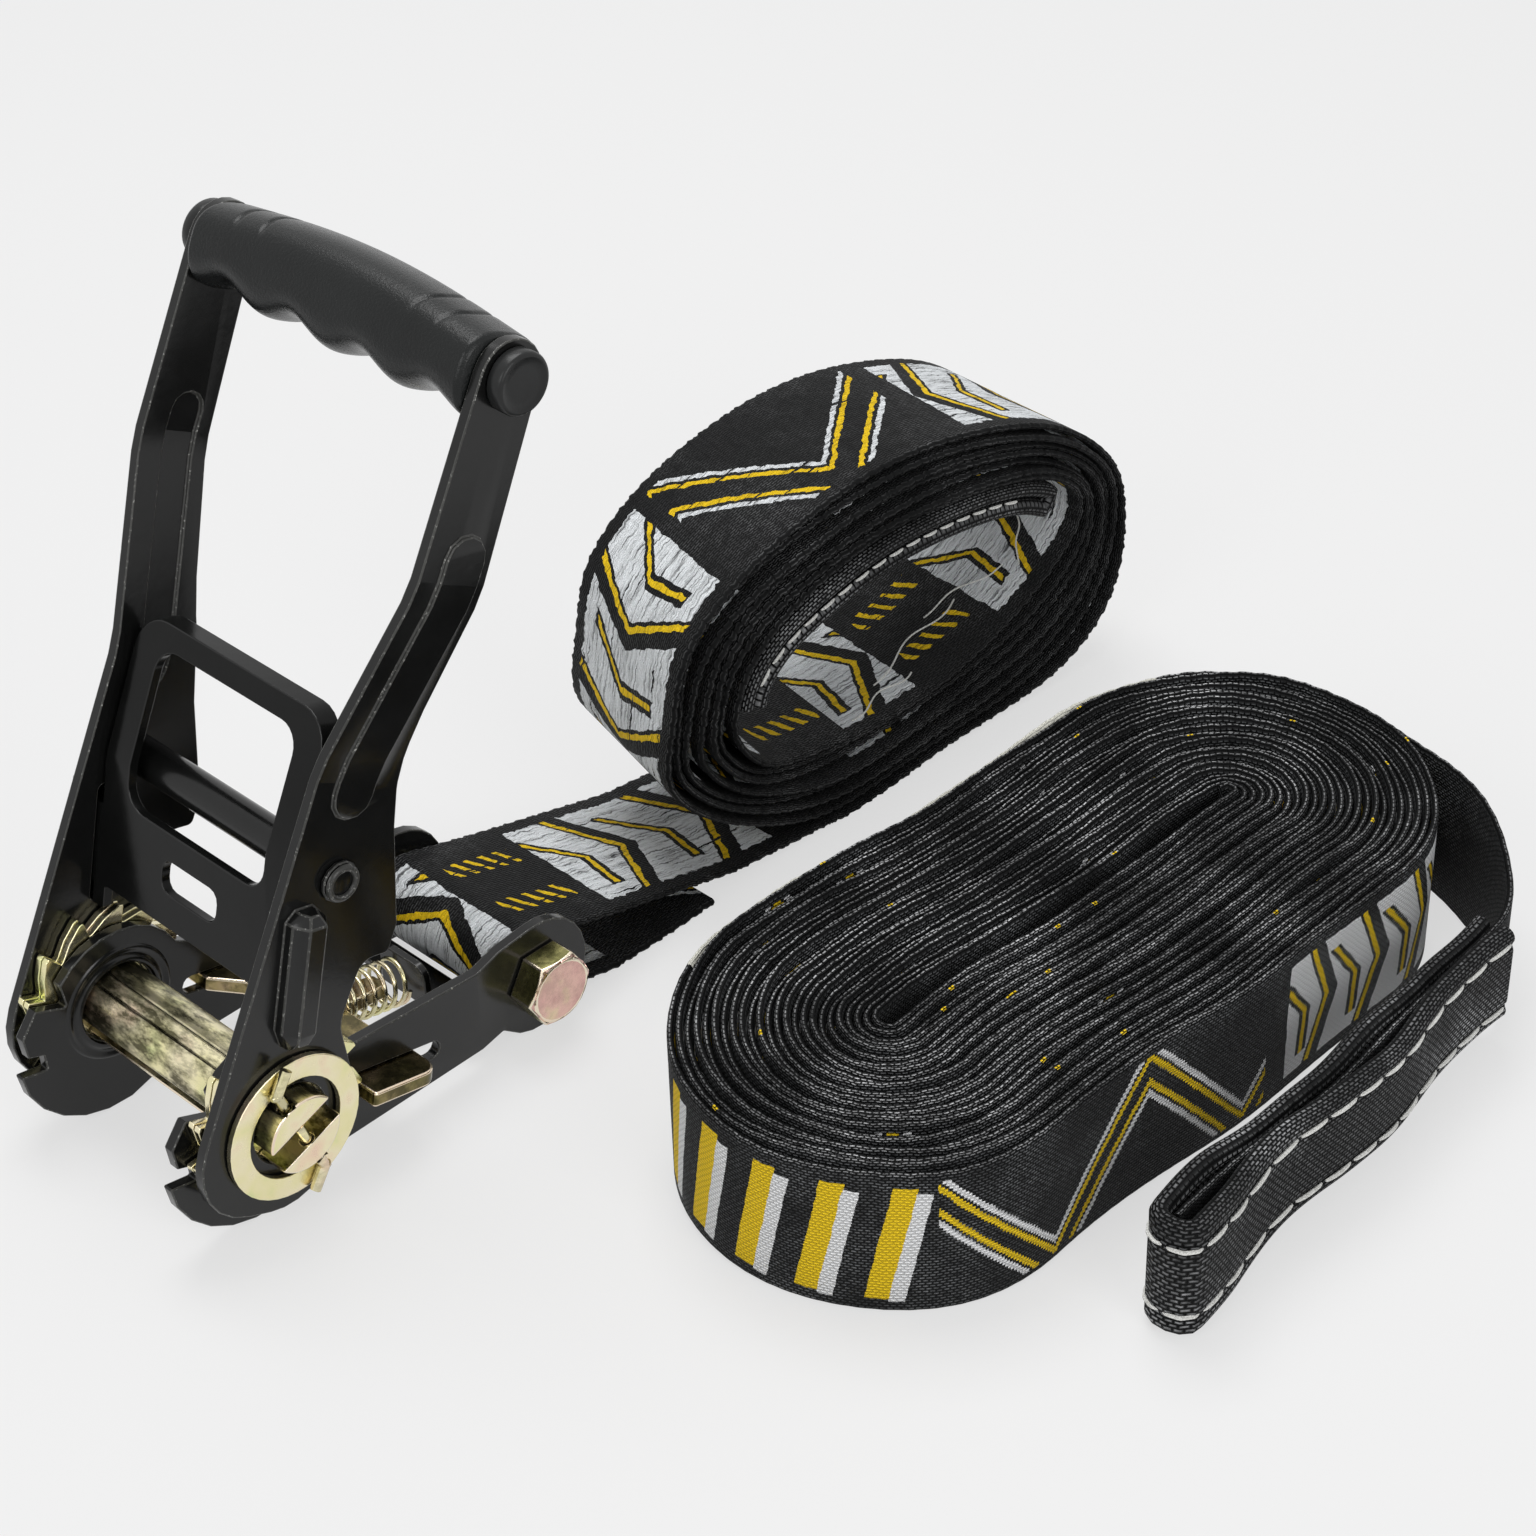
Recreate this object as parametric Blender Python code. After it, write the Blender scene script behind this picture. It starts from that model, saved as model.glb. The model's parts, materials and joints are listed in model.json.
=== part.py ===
"""Slackline set: a two-inch ratchet with its short strap, and the long line rolled up beside it.

Metres, +Z up, floor at z = 0. X runs along the reel's axis, Y from the reel to the strap bolt.
The reel's axis stands over the origin, at the height AXIS_HEIGHT.
"""

import math

import bmesh
import bpy
from mathutils import Vector, geometry

# The stack of plates on the reel, from the middle plane outwards
FRAME_INSIDE = 0.054
FRAME_SHEET = 0.003
WHEEL_SHEET = 0.0019
HANDLE_SHEET = 0.003
WASHER_SHEET = 0.0018
SHEET_PLAY = 0.0004
BEARING_PLAY = 0.0004
SLIDE_PLAY = 0.0004
SEAT_GAP = 0.0003
CUT_OVERRUN = 0.002
AXIS_HEIGHT = 0.030

# Frame side plates, between the reel and the strap bolt
FRAME_REACH = 0.086
BOLT_DROP = 0.0136
EAR_RADIUS = 0.016
FRAME_DISC_RADIUS = 0.0203
FRAME_LOBE_RADIUS = 0.0271
FRAME_LOBE_BACK = 0.003
EAR_INSIDE = 0.0508
EAR_BEND_SETBACK = 0.021
EAR_BEND_RUN = 0.009
FRAME_UPPER_SHARES = ((0.767, 0.013, 0.3), (0.297, 0.107, 0.08))
FRAME_HOOK_SHARES = (
    (-0.165, 0.227, 0.02), (-0.265, 0.347, 0.02), (-0.320, 0.150, 0.02), (-0.312, -0.047, 0.02),
    (-0.263, -0.100, 0.015), (-0.260, -0.247, 0.012), (-0.344, -0.200, 0.015),
)
FRAME_LOWER_SHARES = ((0.238, -0.787, 0.2), (0.849, -0.780, 0.04))
FRAME_DISC_START, FRAME_DISC_END = 22, 138
FRAME_LOBE_START, FRAME_LOBE_END = 200, 275
EAR_START, EAR_END = -118, 98

# Web between the side plates, with the tab that the lock spring leans on
BRIDGE_SHEET = 0.0022
BRIDGE_SETBACK = 0.0195
BRIDGE_LENGTH = 0.0095
BRIDGE_HEIGHT = 0.0072
TAB_WIDTH = 0.017
TAB_TOP = 0.0194
TAB_CORNER = 0.004

# Strap bolt
BOLT_RADIUS = 0.006
BOLT_HEAD_FLATS = 0.0178
BOLT_HEAD_HEIGHT = 0.0080
BOLT_HEAD_CHAMFER = 0.0011
BOLT_NUT_HEIGHT = 0.0098
BOLT_NUT_RADIUS = 0.0106
BOLT_END = 0.0024
BOLT_WASHER_RADIUS = 0.0125
BOLT_WASHER_SHEET = 0.0022
SPACER_RADIUS = 0.009

# Reel: two half shafts with the slot between them
REEL_RADIUS = 0.0101
REEL_SLOT = 0.0068
REEL_SLOT_ANGLE = 20.5
REEL_END = 0.0038
WASHER_RADIUS = 0.019
WASHER_BORE_RADIUS = 0.0132
COTTER_RADIUS = 0.0014
COTTER_ELBOW = 0.0145
COTTER_LEG = 0.0068
COTTER_LEG_TURN = -50
WHEEL_TEETH = 13
WHEEL_TIP_RADIUS = 0.0246
WHEEL_ROOT_RADIUS = 0.0200
WHEEL_TIP_ANGLE = 15.6
WHEEL_TIP_LAND = 3

# Handle
HANDLE_ANGLE = 62
HANDLE_REACH = 0.185
HANDLE_BACK = 0.0232
GRIP_OFFSET = 0.0144
HANDLE_JOG = 0.0117
JOG_START = 0.089
JOG_END = 0.135
JOG_EASE = 0.006
HANDLE_CORNER_SHARES = (
    (1.048, 1.0, 0.385), (-0.138, 1.03, 0.8), (-0.122, -0.78, 0.8), (0.045, -0.78, 0.5),
    (0.135, -0.28, 0.4), (0.222, -0.32, 0.2), (0.232, -0.655, 0.08), (0.272, -0.655, 0.08),
    (0.43, -0.125, 2.0), (0.545, 0.06, 2.5), (1.048, 0.24, 0.385),
)
BEAD_START = 0.083
BEAD_END = 0.1435
BEAD_OFFSET = 0.0118
BEAD_RADIUS = 0.0058
BEAD_HEIGHT = 0.0009
BEAD_BORDER = 0.0013
HANDLE_TUBE_REACH = 0.0622
HANDLE_TUBE_OFFSET = 0.0086
HANDLE_TUBE_RADIUS = 0.0048
HANDLE_RIVET_RADIUS = 0.0028
RIVET_HEAD_RADIUS = 0.0052
RIVET_HEAD_HEIGHT = 0.0016
GRIP_TUBE_RADIUS = 0.0058
GRIP_TUBE_SETBACK = 0.0004
GRIP_HALF_DEPTH = 0.0118
GRIP_TOP = 0.0086
GRIP_TOP_CROWN = 0.0037
GRIP_BELOW = 0.0100
GRIP_WAVE = 0.0016
GRIP_WAVES = 4
CAP_RADIUS = 0.0074
CAP_HEIGHT = 0.0042

# Drive pawl, which slides in the handle plates' slots
DRIVE_ANGLE = 75.5
DRIVE_SHEET = 0.0026
DRIVE_OFFSET = 0.0030
DRIVE_EDGE = 0.0252
DRIVE_TOP = 0.1012
DRIVE_HALF = 0.0335
DRIVE_CORNER = 0.009
DRIVE_EAR_HALF = 0.0415
DRIVE_EAR_START = 0.0305
DRIVE_EAR_END = 0.0520
DRIVE_RIM_DEPTH = 0.0043
DRIVE_CREASE = 0.066
DRIVE_LEAN = 0.0074
DRIVE_NOTCH_DEPTH = 0.0062
WINDOW_START = 0.0555
WINDOW_END = 0.0953
WINDOW_HALF = 0.0248
WINDOW_CORNER = 0.006
DRIVE_EDGE_EASE = 0.001
DRIVE_EAR_CORNER = 0.002
DRIVE_NOTCH_CORNER = 0.0008
LIGHTENING_START = 0.0400
LIGHTENING_END = 0.0485
LIGHTENING_HALF = 0.010
DRIVE_TRAVEL_IN = 0.005
DRIVE_TRAVEL_OUT = 0.003
HOOD_START = 0.0225
HOOD_HALF = 0.0049
HOOD_HEIGHT = 0.0060
HOOD_WALL = 0.0014

# Lock pawl, which slides in the frame plates' slots
LOCK_ANGLE = -12.3
LOCK_SHEET = 0.004
LOCK_OFFSET = -0.00294
LOCK_EDGE = 0.0251
LOCK_BACK_SHARE = 0.493
LOCK_EAR_HALF = 0.039
LOCK_EAR_CORNER = 0.0045
LOCK_ARCH_HALF = 0.025
LOCK_ARCH_SHARE = 0.217
LOCK_BODY_SHARE = 0.4565
LOCK_TAIL_ROOT_HALF = 0.0045
LOCK_TAIL_END_HALF = 0.0028
LOCK_TAIL_SHARE = 0.843
LOCK_EDGE_EASE = 0.001
LOCK_TAIL_FILLET = 0.0008
LOCK_TRAVEL_IN = 0.005
LOCK_TRAVEL_OUT = 0.0065
SLOT_ROUND_ROOM = 0.001
SPRING_RADIUS = 0.0060
SPRING_WIRE = 0.0006
SPRING_CURLS = 7
SPRING_POINTS = 10

# Short strap, sewn round the spacer tube and rolled up
STRAP_WIDTH = 0.050
STRAP_SHEET = 0.0017
STRAP_TURNS = 7
STRAP_ROLL_START = 0.1315
STRAP_ROLL_LENGTH = 0.187
STRAP_ROLL_HEIGHT = 0.105
STRAP_SEAM_END = 0.150
STRAP_FLOOR_START = 0.114
STRAP_OUTER_SHARES = (
    (0.345, 0.012), (0.58, 0.012), (0.82, 0.034), (0.95, 0.157), (0.992, 0.38), (0.96, 0.60),
    (0.82, 0.815), (0.623, 0.943), (0.409, 0.986), (0.195, 0.946), (0.062, 0.815), (0.022, 0.61),
    (0.016, 0.40), (0.140, 0.188),
)
STRAP_CORE_SHARES = (
    (0.38, 0.257), (0.57, 0.270), (0.74, 0.352), (0.845, 0.455), (0.872, 0.530), (0.848, 0.605),
    (0.758, 0.690), (0.612, 0.745), (0.45, 0.760), (0.290, 0.712), (0.205, 0.64), (0.165, 0.54),
    (0.166, 0.43), (0.235, 0.300),
)
STRAP_LEAD_SHARES = ((0.10, 0.060), (0.205, 0.026))
STRAP_SLEEVE_WIDTH = 0.034
STRAP_SLEEVE_SHEET = 0.0030
STRAP_SLEEVE_SHIFT = 0.008
STRAP_SLEEVE_FROM, STRAP_SLEEVE_TO = 5.3, 11.2
STRAP_FAR_SHORTER_SHARE = 0.075
RUN_STEP = 0.1

# Long line, rolled flat, and its end loop's sleeve
LINE_WIDTH = 0.043
LINE_SHEET = 0.00165
LINE_PITCH = 0.00213
LINE_TURNS = 24
LINE_ROLL_X = 0.1265
LINE_ROLL_Y = 0.1715
LINE_ROLL_STRAIGHT = 0.1216
LINE_CORE_RADIUS = 0.0016
LINE_LEAVES_AT = 76
LINE_TAIL_SHARES = (
    (0.42, 0.950), (0.66, 0.893), (0.90, 0.785), (1.12, 0.645), (1.30, 0.47), (1.385, 0.33), (1.413, 0.21),
)
LINE_END_SHARES = (1.60, -2.27)
SLEEVE_SHEET = 0.0050
SLEEVE_WIDTH = 0.035
SLEEVE_MOUTH_GAP = 0.001

LOOP_POINTS = 24
ARC_STEP = 15
FINE_STEP = 9


def arc(y, z, radius, start, end, step=ARC_STEP):
    """Points along an arc, both ends included, angles in degrees."""
    count = max(1, round(abs(end - start) / step))
    turns = [math.radians(start + (end - start) * k / count) for k in range(count + 1)]
    return [(y + radius * math.cos(t), z + radius * math.sin(t)) for t in turns]


def circle(y, z, radius, step=ARC_STEP):
    return arc(y, z, radius, 0, 360, step)[:-1]


def rounded(corners, step=ARC_STEP):
    """A closed outline with each corner (y, z, fillet radius) rounded; a fillet is limited by its sides."""
    points = []
    for k, (y, z, radius) in enumerate(corners):
        here = Vector((y, z))
        before = Vector(corners[k - 1][:2]) - here
        after = Vector(corners[(k + 1) % len(corners)][:2]) - here
        if radius == 0:
            points.append((y, z))
            continue
        half = before.angle(after) / 2
        run = min(radius / math.tan(half), before.length / 2, after.length / 2)
        centre = here + (before.normalized() + after.normalized()).normalized() * run / math.cos(half)
        first = here + before.normalized() * run - centre
        last = here + after.normalized() * run - centre
        sweep = first.angle_signed(last)
        count = max(1, round(math.degrees(abs(sweep)) / step))
        for n in range(count + 1):
            turn = -sweep * n / count
            points.append((
                centre.x + first.x * math.cos(turn) - first.y * math.sin(turn),
                centre.y + first.x * math.sin(turn) + first.y * math.cos(turn),
            ))
    return points


def scaled(shares, along, across):
    """Corners given as shares: both places and the fillet follow the named sizes."""
    return [(a * along, b * across, r * across) for a, b, r in shares]


def inside(point, loop):
    """Whether a point lies inside a closed outline."""
    y, z = point
    found = False
    for (y0, z0), (y1, z1) in zip(loop, loop[1:] + loop[:1]):
        if (z0 > z) != (z1 > z) and y < y0 + (z - z0) * (y1 - y0) / (z1 - z0):
            found = not found
    return found


def prism(outline, holes, low, high, axis="X"):
    """A flat sheet with holes, as a bmesh: outline points lie in YZ for axis X, and in XY for axis Z."""
    loops = [list(outline), *map(list, holes)]
    points = [Vector(point) for loop in loops for point in loop]
    edges = []
    for loop in loops:
        first = len(edges)
        edges += [(first + k, first + (k + 1) % len(loop)) for k in range(len(loop))]
    flat, _, triangles, *_ = geometry.delaunay_2d_cdt(points, edges, [], 1, CUT_OVERRUN / 1e6)
    bm = bmesh.new()
    verts = [bm.verts.new((low, p.x, p.y) if axis == "X" else (p.x, p.y, low)) for p in flat]
    for triangle in triangles:
        middle = sum((flat[k] for k in triangle), Vector((0, 0))) / 3
        if inside(middle, loops[0]) and not any(inside(middle, hole) for hole in loops[1:]):
            bm.faces.new([verts[k] for k in triangle])
    normal = Vector((1, 0, 0) if axis == "X" else (0, 0, 1))
    grown = bmesh.ops.extrude_face_region(bm, geom=bm.faces[:])["geom"]
    moved = [item for item in grown if isinstance(item, bmesh.types.BMVert)]
    bmesh.ops.translate(bm, verts=moved, vec=normal * (high - low))
    bmesh.ops.recalc_face_normals(bm, faces=bm.faces[:])
    return bm


def bent(bm, side, stations, axis="x"):
    """Joggles a sheet along an axis: creased at each station (y, shift), with a straight slope between them."""
    for y, _ in stations:
        bmesh.ops.bisect_plane(
            bm, geom=bm.verts[:] + bm.edges[:] + bm.faces[:], plane_co=(0, y, 0), plane_no=(0, 1, 0)
        )
    for vert in bm.verts:
        shift = stations[0][1] if vert.co.y < stations[0][0] else stations[-1][1]
        for (y0, s0), (y1, s1) in zip(stations, stations[1:]):
            if y0 <= vert.co.y <= y1:
                shift = s0 + (s1 - s0) * (vert.co.y - y0) / (y1 - y0)
        setattr(vert.co, axis, getattr(vert.co, axis) + side * shift)
    return bm


def rebent(made, side, stations, axis="x"):
    """Creases a finished piece in the same way."""
    bm = bmesh.new()
    bm.from_mesh(made.data)
    bmesh.ops.triangulate(bm, faces=bm.faces[:])
    bent(bm, side, stations, axis)
    bm.to_mesh(made.data)
    bm.free()


def loft(rings):
    """A closed body through rings of equally many points, capped at both ends."""
    bm = bmesh.new()
    rows = [[bm.verts.new(point) for point in ring] for ring in rings]
    for row, following in zip(rows, rows[1:]):
        for k in range(len(row)):
            bm.faces.new((row[k - 1], row[k], following[k], following[k - 1]))
    bm.faces.new(rows[0])
    bm.faces.new(reversed(rows[-1]))
    bmesh.ops.recalc_face_normals(bm, faces=bm.faces[:])
    return bm


def turned(profile, step=ARC_STEP):
    """A body of revolution about X, from (x, radius) points."""
    return loft([[(x, y, z) for y, z in circle(0, 0, radius, step)] for x, radius in profile])


def offsets(path, distance):
    """The two sides of a band along a path, each at the distance from it."""
    sides = []
    for k, point in enumerate(path):
        here = Vector(point)
        back = (here - Vector(path[k - 1])) if k else (Vector(path[1]) - here)
        ahead = (Vector(path[k + 1]) - here) if k + 1 < len(path) else back
        back.normalize()
        ahead.normalize()
        mean = (back + ahead).normalized()
        normal = Vector((-mean.y, mean.x)) * distance / max(mean.dot(ahead), 0.5)
        sides.append((here - normal, here + normal))
    return sides


def strip(path, sheet, low, high, axis, low_path=None):
    """A band of one thickness along a path: its width runs along X for a path in YZ, along Z for one in XY.

    Its low edge can follow a path of its own.
    """
    near = offsets(path, sheet / 2)
    far = offsets(low_path or path, sheet / 2)
    if axis == "X":
        return loft([
            [(low, *c), (high, *a), (high, *b), (low, *d)] for (a, b), (c, d) in zip(near, far)
        ])
    return loft([[(*c, low), (*d, low), (*b, high), (*a, high)] for (a, b), (c, d) in zip(near, far)])


def closed_curve(points, place):
    """The point at a place along a smooth closed curve through the given points, one unit for each point."""
    k = math.floor(place)
    t = place - k
    p0, p1, p2, p3 = (Vector(points[(k + n) % len(points)]) for n in (-1, 0, 1, 2))
    return (
        2 * p1 + (p2 - p0) * t + (2 * p0 - 5 * p1 + 4 * p2 - p3) * t**2 + (3 * p1 - 3 * p2 + p3 - p0) * t**3
    ) / 2


def open_curve(points, steps):
    """A smooth path through the points, ends included."""
    ends = [points[0], *points, points[-1]]
    path = []
    for k in range(len(points) - 1):
        p0, p1, p2, p3 = (Vector(p) for p in ends[k:k + 4])
        for n in range(steps):
            t = n / steps
            path.append((
                2 * p1 + (p2 - p0) * t + (2 * p0 - 5 * p1 + 4 * p2 - p3) * t**2
                + (3 * p1 - 3 * p2 + p3 - p0) * t**3
            ) / 2)
    return path + [Vector(points[-1])]


def least_gap(path, sheet, apart):
    """Least gap between a wound band and itself, measured from points to stretches more than `apart` along."""
    lengths = [0.0]
    for a, b in zip(path, path[1:]):
        lengths.append(lengths[-1] + (Vector(b) - Vector(a)).length)
    least = math.inf
    for k, point in enumerate(path):
        here = Vector(point)
        for n in range(k + 1, len(path) - 1):
            if lengths[n] - lengths[k] < apart:
                continue
            a, b = Vector(path[n]), Vector(path[n + 1])
            run = b - a
            t = min(1, max(0, (here - a).dot(run) / run.length_squared))
            least = min(least, (a + run * t - here).length)
    return least - sheet


def material(name, colour, roughness, metallic):
    made = bpy.data.materials.new(name)
    made.use_nodes = True
    shader = made.node_tree.nodes["Principled BSDF"]
    shader.inputs["Base Color"].default_value = (*colour, 1)
    shader.inputs["Roughness"].default_value = roughness
    shader.inputs["Metallic"].default_value = metallic
    made.diffuse_color = (*colour, 1)
    return made


def empty(name, y, z, angle, parent=None):
    """A frame of reference: its Y axis points along the piece, turned about X."""
    made = bpy.data.objects.new(name, None)
    bpy.context.collection.objects.link(made)
    made.location = (0, y, z)
    made.rotation_euler = (math.radians(angle), 0, 0)
    made.parent = parent
    return made


def piece(name, bm, look, parent, y=0.0, z=0.0, smooth=30):
    """One sub-part from a bmesh, placed in its parent's frame."""
    mesh = bpy.data.meshes.new(name)
    bm.to_mesh(mesh)
    bm.free()
    made = bpy.data.objects.new(name, mesh)
    bpy.context.collection.objects.link(made)
    made.data.materials.append(look)
    mesh.shade_smooth()
    mesh.set_sharp_from_angle(angle=math.radians(smooth))
    made.parent = parent
    made.location = (0, y, z)
    return made


def boolean(made, bm, operation):
    """Cuts or joins a piece with a body given in the piece's own frame, and bakes the result."""
    mesh = bpy.data.meshes.new("tool")
    bm.to_mesh(mesh)
    bm.free()
    tool = bpy.data.objects.new("tool", mesh)
    bpy.context.collection.objects.link(tool)
    tool.parent = made.parent
    tool.location = made.location
    modifier = made.modifiers.new("shape", "BOOLEAN")
    modifier.operation = operation
    modifier.solver = "EXACT"
    modifier.object = tool
    bpy.context.view_layer.update()
    graph = bpy.context.evaluated_depsgraph_get()
    result = bpy.data.meshes.new_from_object(made.evaluated_get(graph))
    made.modifiers.clear()
    made.data = result
    bpy.data.objects.remove(tool)
    return made


def wire(name, points, radius, look, parent, sides=1):
    """A round bar or a coil as one tube along its points."""
    curve = bpy.data.curves.new(name, "CURVE")
    curve.dimensions = "3D"
    curve.bevel_depth = radius
    curve.bevel_resolution = sides
    curve.use_fill_caps = True
    spline = curve.splines.new("POLY")
    spline.points.add(len(points) - 1)
    for held, point in zip(spline.points, points):
        held.co = (*point, 1)
    made = bpy.data.objects.new(name, curve)
    bpy.context.collection.objects.link(made)
    made.data.materials.append(look)
    made.parent = parent
    return made


for old in list(bpy.data.objects):
    bpy.data.objects.remove(old)

BLACK_PAINT = material("black_paint", (0.016, 0.016, 0.017), 0.28, 0.0)
YELLOW_ZINC = material("yellow_zinc", (0.62, 0.53, 0.27), 0.30, 1.0)
GRIP_PLASTIC = material("grip_plastic", (0.022, 0.022, 0.023), 0.55, 0.0)
CAP_PLASTIC = material("cap_plastic", (0.012, 0.012, 0.013), 0.35, 0.0)
BRIGHT_STEEL = material("bright_steel", (0.50, 0.49, 0.46), 0.30, 1.0)
BLACK_WEBBING = material("black_webbing", (0.020, 0.020, 0.022), 0.85, 0.0)
BLACK_SLEEVE = material("black_sleeve", (0.014, 0.014, 0.016), 0.90, 0.0)

# Where each sheet of the stack lies along X, on the near side
FRAME_IN = FRAME_INSIDE / 2
FRAME_OUT = FRAME_IN + FRAME_SHEET
WHEEL_A_IN = FRAME_OUT + SHEET_PLAY
WHEEL_A_OUT = WHEEL_A_IN + WHEEL_SHEET
WHEEL_B_IN = WHEEL_A_OUT + SEAT_GAP
WHEEL_B_OUT = WHEEL_B_IN + WHEEL_SHEET
HANDLE_IN = WHEEL_B_OUT + SHEET_PLAY
HANDLE_OUT = HANDLE_IN + HANDLE_SHEET
WASHER_IN = HANDLE_OUT + SHEET_PLAY
WASHER_OUT = WASHER_IN + WASHER_SHEET
COTTER_X = WASHER_OUT + SEAT_GAP + COTTER_RADIUS
REEL_OUT = WASHER_OUT + REEL_END
EAR_SHIFT = (EAR_INSIDE - FRAME_INSIDE) / 2
EAR_OUT = FRAME_OUT + EAR_SHIFT
BOLT_Z = -BOLT_DROP
EAR_BEND_START = FRAME_REACH - EAR_BEND_SETBACK
BRIDGE_Y = FRAME_REACH - BRIDGE_SETBACK
LOCK_ROOM = BRIDGE_Y - LOCK_EDGE
LOCK_BACK = LOCK_EDGE + LOCK_BACK_SHARE * LOCK_ROOM
LOCK_BODY_BACK = LOCK_EDGE + LOCK_BODY_SHARE * LOCK_ROOM
LOCK_TAIL_END = LOCK_EDGE + LOCK_TAIL_SHARE * LOCK_ROOM
LOCK_ARCH_DEPTH = LOCK_ARCH_SHARE * LOCK_ROOM
DRIVE_NOTCH_HALF = FRAME_OUT + SEAT_GAP
SIDES = (("near", 1), ("far", -1))

axle = empty("reel_axle", 0, AXIS_HEIGHT, 0)
reel_frame = empty("reel_turn", 0, 0, REEL_SLOT_ANGLE, axle)
handle_frame = empty("handle_swing", 0, 0, HANDLE_ANGLE, axle)
drive_frame = empty("drive_slide", 0, 0, DRIVE_ANGLE - HANDLE_ANGLE, handle_frame)
lock_frame = empty("lock_slide", 0, 0, LOCK_ANGLE, axle)


def half_segment(side, radius, flat, low=0.0):
    """Half of a slotted shaft: the round cut off by a flat that lies `flat` from the middle."""
    reach = math.degrees(math.asin(flat / radius))
    points = arc(0, 0, radius, reach, 180 - reach, FINE_STEP)
    return [(y, side * (z + low)) for y, z in points]


def in_frame(points, angle):
    """Points given along a turned axis, in the frame that the axis is turned from."""
    c, s = math.cos(math.radians(angle)), math.sin(math.radians(angle))
    return [(y * c - z * s, y * s + z * c) for y, z in points]


def long_hole(start, end, offset, width):
    """A slot with rounded ends along Y."""
    radius = width / 2
    return rounded([
        (start, offset - radius, radius), (end, offset - radius, radius),
        (end, offset + radius, radius), (start, offset + radius, radius),
    ], 30)


def frame_plates():
    outline = arc(FRAME_REACH, BOLT_Z, EAR_RADIUS, EAR_START, EAR_END)
    outline += rounded_run(FRAME_UPPER_SHARES, outline[-1], (FRAME_DISC_RADIUS, AXIS_HEIGHT / 3))
    outline += arc(0, 0, FRAME_DISC_RADIUS, FRAME_DISC_START, FRAME_DISC_END)
    lobe = arc(
        -FRAME_LOBE_BACK, FRAME_LOBE_RADIUS - AXIS_HEIGHT, FRAME_LOBE_RADIUS, FRAME_LOBE_START, FRAME_LOBE_END
    )
    outline += rounded_run(FRAME_HOOK_SHARES, outline[-1], lobe[0])
    outline += lobe
    outline += rounded_run(FRAME_LOWER_SHARES, lobe[-1], outline[0])
    slot = in_frame(long_hole(
        LOCK_EDGE - LOCK_TRAVEL_IN - SLIDE_PLAY, LOCK_BACK + LOCK_TRAVEL_OUT + SLIDE_PLAY + SLOT_ROUND_ROOM,
        LOCK_OFFSET, LOCK_SHEET + 2 * SLIDE_PLAY,
    ), LOCK_ANGLE)
    holes = [
        circle(0, 0, REEL_RADIUS + BEARING_PLAY, FINE_STEP),
        circle(FRAME_REACH, BOLT_Z, BOLT_RADIUS + BEARING_PLAY),
        slot,
    ]
    stations = ((EAR_BEND_START, 0), (EAR_BEND_START + EAR_BEND_RUN, EAR_SHIFT))
    for name, side in SIDES:
        bm = prism(outline, holes, side * FRAME_IN, side * FRAME_OUT)
        piece(f"frame_plate_{name}", bent(bm, side, stations), BLACK_PAINT, axle)


def rounded_run(shares, before, after):
    """Rounded corners between two points already placed."""
    corners = scaled(shares, FRAME_REACH, AXIS_HEIGHT)
    ring = rounded([(*before, 0), *corners, (*after, 0)])
    return ring[1:-1]


def frame_bridge():
    low = BRIDGE_HEIGHT - AXIS_HEIGHT
    top = TAB_TOP - AXIS_HEIGHT
    half = EAR_INSIDE / 2 - SEAT_GAP
    web = prism([
        (-half, BRIDGE_Y), (half, BRIDGE_Y), (half, BRIDGE_Y + BRIDGE_LENGTH), (-half, BRIDGE_Y + BRIDGE_LENGTH),
    ], [], low, low + BRIDGE_SHEET, "Z")
    made = piece("frame_bridge", web, BLACK_PAINT, axle)
    tab = bmesh.new()
    front = rounded([
        (-TAB_WIDTH / 2, low, 0), (TAB_WIDTH / 2, low, 0),
        (TAB_WIDTH / 2, top, TAB_CORNER), (-TAB_WIDTH / 2, top, TAB_CORNER),
    ])
    faces_y = (BRIDGE_Y - BRIDGE_SHEET / 2, BRIDGE_Y + BRIDGE_SHEET / 2)
    rows = [[tab.verts.new((x, y, z)) for x, z in front] for y in faces_y]
    for k in range(len(front)):
        tab.faces.new((rows[0][k - 1], rows[0][k], rows[1][k], rows[1][k - 1]))
    tab.faces.new(rows[0])
    tab.faces.new(reversed(rows[1]))
    bmesh.ops.recalc_face_normals(tab, faces=tab.faces[:])
    boolean(made, tab, "UNION")


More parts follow.
